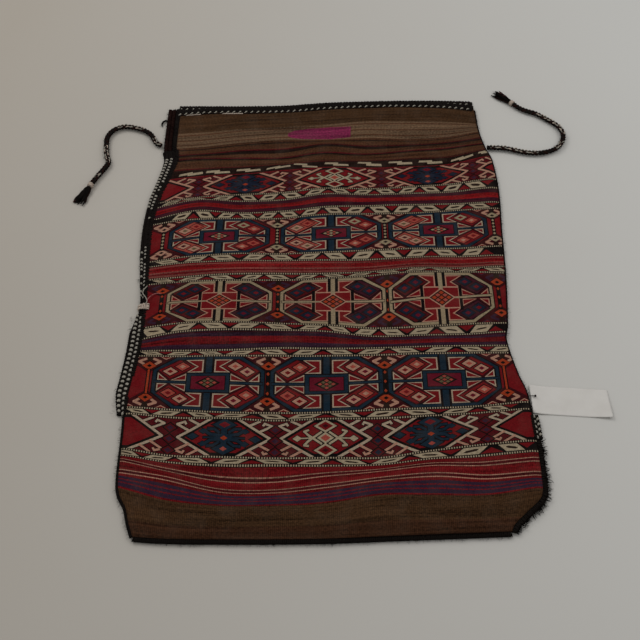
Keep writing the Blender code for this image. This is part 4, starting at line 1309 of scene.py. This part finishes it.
def hairs_along(bm, line, start, end, count, across, high, longest, material=DARK, radius=0.00022):
    """Loose hairs strewn along a seam between two distances from the cloth's edge."""
    for _ in range(count):
        here, along, outward = line.frame(start + (end - start) * chance.random())
        root = here + outward * chance.uniform(*across) + up(chance.uniform(*high))
        hair(bm, root, outward, chance.uniform(0.3, 1.0) * longest, material, radius)


# %% The chain of stitches
GAP = 0.0004
CHAIN_CROWN = 0.0066
CHAIN_PROFILE = ((0.02, 0.03), (0.90, 0.03), (0.97, 0.45), (0.80, 0.80), (0.5, 0.86), (0.2, 0.80),
                 (0.02, 0.72))


def chain_braid(bm, line, start, end, columns, inner, outer, pitch, light):
    """Two columns of stitches over a dark core, with wraps along both sides.

    columns, inner and outer give distances from the cloth's edge at a share of the length:
    the middle line of the chain, the inner limit (negative over the cloth) and the outer one.
    light gives how many of the pale stitches are there.
    """
    crown = CHAIN_CROWN
    count = int((end - start) / pitch)
    rings = []
    for index in range(count + 1):
        share = index / count
        here, along, outward = line.frame(start + (end - start) * share)
        width = outer(share) - GAP
        swell = 0.0007 if index % 2 else 0.0
        rings.append([here + outward * (GAP + width * across - (swell if across > 0.9 else 0.0))
                      + up(high * crown) for across, high in CHAIN_PROFILE])
    skin(bm, rings, DARK, pitch)
    for index in range(count):
        share = (index + 0.5) / count
        here, along, outward = line.frame(start + (end - start) * share)
        middle, turn = columns(share), heading_of(along)
        spread = min(0.0041, (outer(share) - 0.001) * 0.24)
        for column, side in enumerate((-1, 1)):
            white = (index + column) % 2 == 0 and chance.random() < light(share)
            place = here + outward * (middle + side * spread) + up(crown * 0.86)
            size = (pitch * 1.55, min(0.0060, spread * 1.5), 0.0038)
            stamp(bm, WHITE if white else DARK, place, turn + line.turn * side * -0.42, size)
        heading = heading_of(outward)
        stamp(bm, DARK, here + outward * (outer(share) - 0.0016) + up(crown * 0.50), heading + 0.25,
              (0.0075, pitch * 0.95, 0.0034), 0.9)
        reach = middle - spread - 0.002 - inner(share)
        rows = max(1, round(reach / 0.006))
        for row in range(rows):
            across = inner(share) + reach * (row + 0.5) / rows
            lift = 0.0072 if across < 0.001 else 0.0055
            stamp(bm, DARK, here + outward * across + up(lift), heading + chance.uniform(-0.5, 0.5),
                  (reach / rows + 0.0035, pitch * 1.1, 0.0032))
    hairs_along(bm, line, start, end, int(count * 1.2), (outer(0.5) - 0.003, outer(0.5) - 0.001),
                (0.001, 0.004), 0.006)


# %% Yarn wound round an edge
COIL_STEPS, CORE_STEP = 8, 0.005


def coil(bm, line, start, end, inner, outer, crown, pitch, yarn, material, wobble=0.15):
    """Yarn wound round an edge: inner and outer reach, height, spacing and yarn radius."""
    steps = max(2, int((end - start) / pitch)) * COIL_STEPS
    points = []
    for step in range(steps + 1):
        angle = 2 * pi * step / COIL_STEPS
        here, along, outward = line.frame(start + (end - start) * step / steps
                                          + chance.uniform(-wobble, wobble) * pitch)
        across = (inner + outer) / 2 + (outer - inner - 2 * yarn) / 2 * cos(angle)
        rise = crown / 2 + (crown / 2 - yarn) * sin(angle)
        points.append(here + outward * across + up(max(rise, yarn + 0.0001)))
    tube(bm, points, yarn, 5, material)


def core(bm, line, start, end, inner, outer, crown, material):
    """A smooth core under a coil, so that no gap shows through it."""
    count = max(2, int((end - start) / CORE_STEP))
    rings = []
    for index in range(count + 1):
        here, along, outward = line.frame(start + (end - start) * index / count)
        rings.append([here + outward * across + up(rise) for across, rise in (
            (inner, 0.0003), (outer - 0.0004, 0.0003), (outer, crown * 0.5),
            (outer - 0.0008, crown), (inner, crown))])
    skin(bm, rings, material, CORE_STEP)


# %% The left side, from the lower corner to the mouth
def table(*rows):
    """A value that changes between given shares of a seam."""
    shares, values = zip(*rows)
    return lambda share: float(np.interp(share, shares, values))


# Heights above the bottom at which one stretch of the left seam gives way to the next
LEFT_MARKS = (0.192, 0.378, 0.438, 0.762)
marks = [GAP, *(left_line.at_height(height) for height in LEFT_MARKS), left_line.total]
wrap_bm = bmesh.new()
coil(wrap_bm, left_line, marks[0], marks[1] - 0.001, -0.0022, 0.0048, 0.0072, 0.0021, 0.00105,
     DARK)
core(wrap_bm, left_line, marks[0] + 0.002, marks[1] - 0.002, 0.0009, 0.0038, 0.0055, DARK)
hairs_along(wrap_bm, left_line, marks[0], marks[1], 90, (0.003, 0.0045), (0.002, 0.005), 0.006)
finish_piece("left_corner_overcast", wrap_bm, YARNS, ["left_corner_wrap"])

CHAINS = (
    ("left_lower_chain", "left_braid_lower", 1, 2, 0.0042,
     table((0, 0.0060), (0.2, 0.0105), (1, 0.0075)), table((0, -0.001), (1, -0.003)),
     table((0, 0.0125), (0.2, 0.0205), (0.8, 0.0205), (1, 0.0115)), table((0, 0.97), (1, 0.97))),
    ("left_middle_chain", "left_braid_middle", 2, 3, 0.0040,
     table((0, 0.0050), (1, 0.0055)), table((0, -0.003), (1, -0.003)),
     table((0, 0.010), (0.35, 0.0070), (1, 0.010)),
     table((0, 0.1), (0.5, 0.1), (0.7, 0.6), (1, 0.9))),
    ("left_upper_chain", "left_braid_upper", 3, 4, 0.0037,
     table((0, 0.0055), (0.2, 0.0075), (0.7, 0.0095), (1, 0.0150)),
     table((0, -0.003), (0.6, -0.0055), (1, -0.004)),
     table((0, 0.0105), (0.2, 0.014), (0.55, 0.0145), (0.8, 0.0190), (1, 0.026)),
     table((0, 0.85), (0.22, 0.8), (0.30, 0.12), (0.50, 0.06), (0.56, 0.9), (0.925, 0.97),
           (0.93, 0))),
)
for name, node, first, last, pitch, columns, inner, outer, light in CHAINS:
    braid_bm = bmesh.new()
    chain_braid(braid_bm, left_line, marks[first] + 0.0006, marks[last] - 0.0002, columns, inner,
                outer, pitch, light)
    finish_piece(name, braid_bm, YARNS, [node])

selvedge_bm = bmesh.new()
for inner, outer, material in ((-0.0030, 0.0090, DARK), (0.0082, 0.0164, BROWN),
                               (0.0156, 0.0238, BROWN)):
    coil(selvedge_bm, left_line, marks[4] + 0.0006, marks[5] - 0.0006, inner, outer,
         0.0084 if inner < 0 else 0.0068, 0.0024, 0.00125, material, 0.3)
    core(selvedge_bm, left_line, marks[4] + 0.001, marks[5] - 0.001, max(inner, 0) + 0.0010,
         outer - 0.0010, 0.0054, material)
hairs_along(selvedge_bm, left_line, marks[4], marks[5], 60, (0.02, 0.0235), (0.002, 0.005), 0.006)
hairs_along(selvedge_bm, left_line, marks[4], marks[5], 120, (0.002, 0.020), (0.0064, 0.0074), 0.007)
torn_at, _, torn_out = left_line.frame(left_line.total - 0.036)
torn_loop = [torn_at + torn_out * x + Vector((0.0, y, z)) for x, y, z in (
    (0.022, 0.004, 0.003), (0.027, 0.006, 0.003), (0.031, 0.003, 0.003), (0.033, -0.003, 0.0026),
    (0.0325, -0.009, 0.0022))]
tube(selvedge_bm, torn_loop, [0.0016, 0.0019, 0.0019, 0.0017, 0.0009], 6, DARK)
finish_piece("left_selvedge_overcast", selvedge_bm, YARNS, ["left_selvedge_wrap"])

# %% The right side, the bottom and the mouth
stub_start, stub_end = right_line.at_height(0.151), right_line.at_height(0.195)
corner_bm = bmesh.new()
coil(corner_bm, right_line, 0.0006, stub_start - 0.0006, -0.0020, 0.0088, 0.0072, 0.0026, 0.0013,
     DARK, 0.3)
core(corner_bm, right_line, 0.002, stub_start - 0.002, 0.0009, 0.0076, 0.0052, DARK)
hairs_along(corner_bm, right_line, 0.001, stub_start - 0.001, 420, (0.001, 0.008), (0.002, 0.0065),
            0.009)
hairs_along(corner_bm, right_line, 0.002, stub_start - 0.002, 260, (-0.001, 0.008), (0.003, 0.0066),
            0.0095, DARK, 0.0007)
finish_piece("right_corner_fringe", corner_bm, YARNS, ["right_corner_binding"])

stub_bm = bmesh.new()
chain_braid(stub_bm, right_line, stub_start + 0.0006, stub_end - 0.0002,
            table((0, 0.0056), (1, 0.0056)), table((0, -0.001), (1, -0.001)),
            table((0, 0.0115), (1, 0.011)), 0.0042, table((0, 0.95), (1, 0.95)))
finish_piece("right_chain_stub", stub_bm, YARNS, ["right_braid_stub"])

seam_bm = bmesh.new()
coil(seam_bm, right_line, stub_end + 0.0006, right_line.total - 0.0004, -0.0018, 0.0034, 0.0072,
     0.0031, 0.0009, DARK, 0.3)
core(seam_bm, right_line, stub_end + 0.0008, right_line.total - 0.0006, 0.0009, 0.0026, 0.0060, DARK)
hairs_along(seam_bm, right_line, stub_end, right_line.total, 110, (0.002, 0.003), (0.003, 0.005),
            0.006)
finish_piece("right_overcast_seam", seam_bm, YARNS, ["right_side_seam"])

hem_bm = bmesh.new()
coil(hem_bm, bottom_line, 0.001, bottom_line.total - 0.001, -0.0020, 0.0068, 0.0070, 0.0027, 0.0011,
     DARK, 0.25)
core(hem_bm, bottom_line, 0.002, bottom_line.total - 0.002, 0.0009, 0.0058, 0.0052, DARK)
hairs_along(hem_bm, bottom_line, 0.001, bottom_line.total, 240, (0.003, 0.006), (0.002, 0.005), 0.006)
hairs_along(hem_bm, bottom_line, 0.001, bottom_line.total, 170, (-0.001, 0.005), (0.003, 0.0062),
            0.006, DARK, 0.0006)
finish_piece("bottom_overcast", hem_bm, YARNS, ["bottom_binding"])

# %% The chains along the two lips of the mouth
MOUTH_PITCH, MOUTH_HAIRS = 0.0057, 110
LIP_PROFILE = ((0.0, 0.02), (0.95, 0.02), (1.0, 0.5), (0.72, 0.84), (0.3, 0.86), (0.0, 0.7))


def mouth_chain(name, node, line, lift, inner, outer, crown, thread):
    """The chain along a lip: dark stitches over a core, with small hooks of white cotton."""
    bm = bmesh.new()
    count = int((line.total - 0.001) / MOUTH_PITCH)
    places, rings = [], []
    for index in range(count + 1):
        here, along, outward = line.frame(0.0005 + (line.total - 0.001) * index / count)
        here = here + up(lift(here))
        places.append((here, along, outward))
        rings.append([here + outward * (GAP + (outer - GAP) * across) + up(high * crown)
                      for across, high in LIP_PROFILE])
    skin(bm, rings, DARK, MOUTH_PITCH)
    for index, (here, along, outward) in enumerate(places[:-1]):
        turn, share = heading_of(along), index / count
        hook = index % 2 == 0
        low = inner + 0.0038
        slant = 1.05 - 0.75 * share
        stamp(bm, WHITE if hook else DARK, here + outward * low + up(crown * 0.95), turn + slant,
              (0.0062, 0.0029, 0.0024))
        if hook:
            stamp(bm, WHITE, here + outward * (low - 0.0024) - along * 0.0018 + up(crown * 0.93),
                  turn - 0.25, (0.0044, 0.0022, 0.0020))
        stamp(bm, DARK, here + outward * (inner + 0.0010) + up(crown * 0.86), turn + 0.3,
              (0.0080, 0.0034, 0.0026))
        for across in (0.50, 0.78):
            stamp(bm, DARK, here + outward * (inner + (outer - inner) * across) + up(crown * 0.88),
                  turn - 0.55, (0.0090, 0.0050, 0.0028))
        stamp(bm, DARK, here + outward * (outer - 0.0008) + up(crown * 0.5), heading_of(outward) + 0.2,
              (0.0062, 0.0052, 0.0026), 0.8)
    for low_share, high_share in thread:
        run = [here + outward * (inner - 0.0006) + up(crown * 0.80 + 0.0003 * (index % 2))
               for index, (here, along, outward) in enumerate(places)
               if low_share < index / count < high_share]
        tube(bm, run, 0.0011, 6, PALE)
    for _ in range(MOUTH_HAIRS):
        here, along, outward = places[chance.randrange(count)]
        root = here + outward * (outer - 0.001) + up(crown * 0.5)
        hair(bm, root, outward, chance.uniform(0.002, 0.006))
    finish_piece(name, bm, YARNS, [node])


def front_lift(here):
    """Height of the front's underside beside the mouth, which carries the chain."""
    return FRONT_UNDERSIDE + float(puff(np.array([here.x]), np.array([here.y]))[0])


mouth_chain("front_mouth_chain", "mouth_braid_front", mouth_line, front_lift, -0.0050, 0.0112, 0.0050,
            ((0.012, 0.075), (0.135, 0.215)))
back_lip_line = Line([point + Vector((0.0, LIP, 0.0)) for point in mouth_line.points], -1)
mouth_chain("back_mouth_chain", "mouth_braid_back", back_lip_line, lambda here: 0.0001, -0.0002, 0.0118,
            0.0030, ())

# %% [markdown]
# ## The two ties
# Each tie is a plait of three thick strands that leaves the edge of the bag near its mouth.
# The strands swing from side to side in turn, each a third of a turn behind the one before,
# and two of them carry a pale yarn that comes and goes. The route on the floor is the one
# of the solids, so its points are written out again.
# %% Plaited cords
CORD_REST = 0.0057
TIES = {
    "left": ((-0.30668, 0.342), (
        (0.000, 0.000), (-0.006, 0.001), (-0.014, 0.011), (-0.025, 0.031), (-0.046, 0.044),
        (-0.069, 0.050), (-0.084, 0.048), (-0.097, 0.038), (-0.104, 0.021), (-0.103, -0.003),
        (-0.099, -0.026), (-0.093, -0.046), (-0.099, -0.063), (-0.109, -0.083), (-0.116, -0.100))),
    "right": ((0.29946, 0.335), (
        (0.000, 0.000), (0.014, 0.000), (0.034, -0.002), (0.067, -0.012), (0.094, -0.014),
        (0.121, -0.006), (0.138, 0.011), (0.146, 0.035), (0.140, 0.058), (0.121, 0.078),
        (0.101, 0.095), (0.087, 0.101), (0.074, 0.109), (0.063, 0.121))),
}
PALE_STRETCHES = {"left": ((0.0, 0.10), (0.22, 0.42), (0.62, 0.80), (0.90, 0.96)),
                  "right": ((0.02, 0.32), (0.44, 0.52), (0.58, 0.84))}


def smooth_route(route, spacing):
    """Evenly spaced points on one smooth curve through the route."""
    knots = [Vector(point) for point in route]
    knots = [knots[0] * 2 - knots[1]] + knots + [knots[-1] * 2 - knots[-2]]
    fine = []
    for before, first, second, after in zip(knots, knots[1:], knots[2:], knots[3:]):
        for step in range(12):
            t = step / 12
            fine.append(0.5 * ((first * 2) + (second - before) * t
                               + (before * 2 - first * 5 + second * 4 - after) * t ** 2
                               + (first * 3 - before - second * 3 + after) * t ** 3))
    fine.append(knots[-2])
    whole = Line(fine, 1)
    count = round(whole.total / spacing)
    return [whole.point(whole.total * index / count) for index in range(count + 1)]


def plait(bm, line, pale_stretches):
    """Three thick strands that cross in turn, and a pale yarn beside two of them."""
    strand, swing, rise, lay_length = 0.0024, 0.0026, 0.0014, 0.0195
    steps = int(line.total / 0.0016)
    for number in range(3):
        points, beside = [], []
        for index in range(steps + 1):
            distance = line.total * index / steps
            here, along, side = line.frame(distance)
            angle = 2 * pi * (distance / lay_length + number / 3)
            middle = here + side * (swing * sin(angle)) + up(rise * sin(2 * angle))
            points.append(middle)
            beside.append(middle + side * (0.0012 * cos(angle)) + up(0.0021))
        tube(bm, points, strand, 8, BROWN if number == 2 else DARK)
        if number < 2:
            for low, high in pale_stretches:
                run = beside[int(low * steps):int(high * steps)]
                uneven = [0.0010 + 0.0003 * sin(k * 0.9) for k in range(len(run))]
                tube(bm, run, uneven, 5, WHITE if number else PALE)


# %% The whipping and the tassel of a tie
WHIPPING_TURNS, WHIPPING_STEPS = 5, 12
TASSEL_YARNS, TASSEL_STEPS, TASSEL_HAIRS = 34, 8, 60


def cord_end(side, line):
    """The pale whipping round the neck of the tie, and its loose ends."""
    end, along, across = line.frame(line.total)
    neck = end + along * 0.0004
    bm = bmesh.new()
    tube(bm, [neck, neck + along * 0.008], 0.0040, 10, PALE)
    points = []
    for step in range(WHIPPING_TURNS * WHIPPING_STEPS + 1):
        angle = 2 * pi * step / WHIPPING_STEPS
        further = 0.0008 + 0.0064 * step / (WHIPPING_TURNS * WHIPPING_STEPS)
        points.append(neck + along * further + across * cos(angle) * 0.0047
                      + up(sin(angle) * 0.0047))
    tube(bm, points, 0.00085, 5, PALE)
    whipping = finish_piece(f"{side}_whipping", bm, YARNS, [f"{side}_cord_whipping"])
    bm = bmesh.new()
    start = neck + along * 0.0085
    for number in range(TASSEL_YARNS):
        spread = chance.uniform(-1.0, 1.0)
        height = chance.uniform(-1.0, 1.0) * (1 - spread * spread) ** 0.5
        length = chance.uniform(0.030, 0.043)
        wave, phase = chance.uniform(0.0002, 0.0011), chance.uniform(0, 6)
        points, radii = [], []
        for step in range(TASSEL_STEPS + 1):
            t = step / TASSEL_STEPS
            out = spread * (0.0036 + 0.0072 * t ** 0.8) + wave * sin(phase + 9 * t)
            point = start + along * (length * t) + across * out
            point.z = max(CORD_REST + height * 0.0036 * (1 - 0.4 * t) - 0.0030 * t, 0.0009)
            points.append(point)
            radii.append(0.00105 if 0 < step < TASSEL_STEPS else 0.0006)
        tube(bm, points, radii, 5, PINK if number == 7 else (BROWN if number % 6 == 0 else DARK))
    for _ in range(TASSEL_HAIRS):
        root = start + along * chance.uniform(0.015, 0.038) + across * chance.uniform(-0.008, 0.008)
        way = (along + across * chance.uniform(-0.8, 0.8)).normalized()
        hair(bm, root, way, chance.uniform(0.003, 0.007))
    tassel = finish_piece(f"{side}_tassel", bm, YARNS, [f"{side}_cord_tassel"])
    return whipping, tassel


TIE_HAIRS = 170
for side, ((exit_x, exit_y), route) in TIES.items():
    cord_points = smooth_route([(exit_x + x, exit_y + y, CORD_REST) for x, y in route], 0.0065)
    cord_line = Line(cord_points, 1)
    cord_bm = bmesh.new()
    plait(cord_bm, cord_line, PALE_STRETCHES[side])
    for _ in range(TIE_HAIRS):
        here, along, across = cord_line.frame(cord_line.total * chance.random())
        way = chance.choice((-1, 1))
        hair(cord_bm, here + across * 0.0042 * way, across * way, chance.uniform(0.0015, 0.0038))
    tie = finish_piece(f"{side}_tie", cord_bm, YARNS, [f"{side}_tie_cord"])
    whipping, tassel = cord_end(side, cord_line)
    print(side, "tie:", round(cord_line.total, 4), "m")

# %% [markdown]
# ## Small things
# Where the left seam gave way, someone lashed it with pale cotton and left the ends. On the
# right hangs a blank paper ticket on a pin.
# %% The old repair
lashing_bm = bmesh.new()
repair_at = left_line.at_height(0.393)
here, along, outward = left_line.frame(repair_at)
ROUND_THE_SEAM = ((-0.0075, 0.0082), (-0.0060, 0.0096), (-0.0020, 0.0100), (0.0020, 0.0100),
                  (0.0060, 0.0094), (0.0088, 0.0078), (0.0102, 0.0050), (0.0104, 0.0022),
                  (0.0096, 0.0015))
for shift, lean, radius in ((-0.0040, 0.10, 0.0013), (-0.0016, -0.06, 0.0015),
                            (0.0016, 0.08, 0.0015), (0.0042, -0.12, 0.0012)):
    points = [here + along * (shift + lean * across) + outward * across + up(rise)
              for across, rise in ROUND_THE_SEAM]
    tube(lashing_bm, points, radius, 7, PALE)
knot_ring = [here + outward * (0.0008 + 0.0016 * sin(2 * pi * k / 14))
             + along * (0.0052 * cos(2 * pi * k / 14)) + up(0.0112 - 0.0006 * cos(4 * pi * k / 14))
             for k in range(15)]
tube(lashing_bm, knot_ring, 0.0010, 6, PALE)
LOOSE_ENDS = (
    (WHITE, 0.00085, ((-0.002, 0.003, 0.0114), (-0.004, 0.010, 0.0110), (-0.001, 0.018, 0.0106),
                      (0.004, 0.026, 0.0104), (0.003, 0.034, 0.0100), (-0.002, 0.042, 0.0096))),
    (PINK, 0.0007, ((-0.003, 0.010, 0.0112), (-0.009, 0.019, 0.0114), (-0.015, 0.023, 0.0118),
                    (-0.021, 0.024, 0.0122), (-0.027, 0.022, 0.0126))),
)
for material, radius, places in LOOSE_ENDS:
    run = smooth_route([here + outward * x + along * y + up(z) for x, y, z in places], 0.002)
    tube(lashing_bm, run, radius, 5, material)
finish_piece("repair_lashing", lashing_bm, YARNS, ["repair_tie"])

# %% The ticket and its pin
TAG_CORNER, TAG_SIZE, TAG_SLANT = (0.30738, -0.2085), (0.118, 0.050), 0.07
TAG_HEIGHT, TAG_THICKNESS = 0.0007, 0.0004
PIN_BEND, FAR_CURL = 0.035, 0.62

tag_bm = bmesh.new()
bmesh.ops.create_grid(tag_bm, x_segments=48, y_segments=20, size=1.0)
for vert in tag_bm.verts:
    along = (vert.co.x + 1) / 2 * TAG_SIZE[0]
    across = vert.co.y * TAG_SIZE[1] / 2
    lift = 0.0030 * max(0.0, 1 - along / PIN_BEND) ** 2
    curl = 0.026 * max(0.0, along / TAG_SIZE[0] - FAR_CURL) ** 2 * (0.6 - across / 0.05)
    vert.co = (TAG_CORNER[0] + along, TAG_CORNER[1] + across - TAG_SLANT * along,
               TAG_HEIGHT + lift + curl)
bmesh.ops.translate(tag_bm, verts=thickened(tag_bm), vec=(0, 0, -TAG_THICKNESS))
bmesh.ops.recalc_face_normals(tag_bm, faces=tag_bm.faces)
paper, paper_shader, paper_wire = new_finish("ticket_card", 0.8)
paper_place = on_object(paper_wire)
paper_colour = two_tones(paper_place.noise(30.0, 4.0), dye(178, 174, 168), dye(194, 191, 186))
connect(paper_shader, paper_wire, paper_colour, paper_place.noise(1400.0, 2.0), 0.00008)
tag_cloth = finish_piece("blank_ticket", tag_bm, [paper], ["hang_tag"])

plastic, plastic_shader, plastic_wire = new_finish("dark_plastic", 0.42)
plastic_colour = two_tones(on_object(plastic_wire).noise(300.0), dye(26, 22, 21), dye(44, 38, 35))
connect(plastic_shader, plastic_wire, plastic_colour)
pin_low, pin_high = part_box("tag_fastener")
pin_y, pin_z = (pin_low.y + pin_high.y) / 2, (pin_low.z + pin_high.z) / 2
pin_bm = bmesh.new()
PIN_RADIUS, HEAD_RADIUS = 0.0006, 0.002
tube(pin_bm, [(pin_low.x + (pin_high.x - pin_low.x) * share, pin_y, pin_z + 0.0003 * sin(pi * share))
              for share in (0.0, 0.2, 0.4, 0.6, 0.75)], PIN_RADIUS, 8)
head_bm = bmesh.new()
bmesh.ops.create_uvsphere(head_bm, u_segments=16, v_segments=10, radius=HEAD_RADIUS)
bmesh.ops.scale(head_bm, verts=head_bm.verts, vec=(0.8, 1.0, 1.0))
bmesh.ops.translate(head_bm, verts=head_bm.verts, vec=(pin_high.x - 0.0017, pin_y, pin_z))
join(pin_bm, head_bm)
finish_piece("ticket_pin", pin_bm, [plastic], ["tag_fastener"])
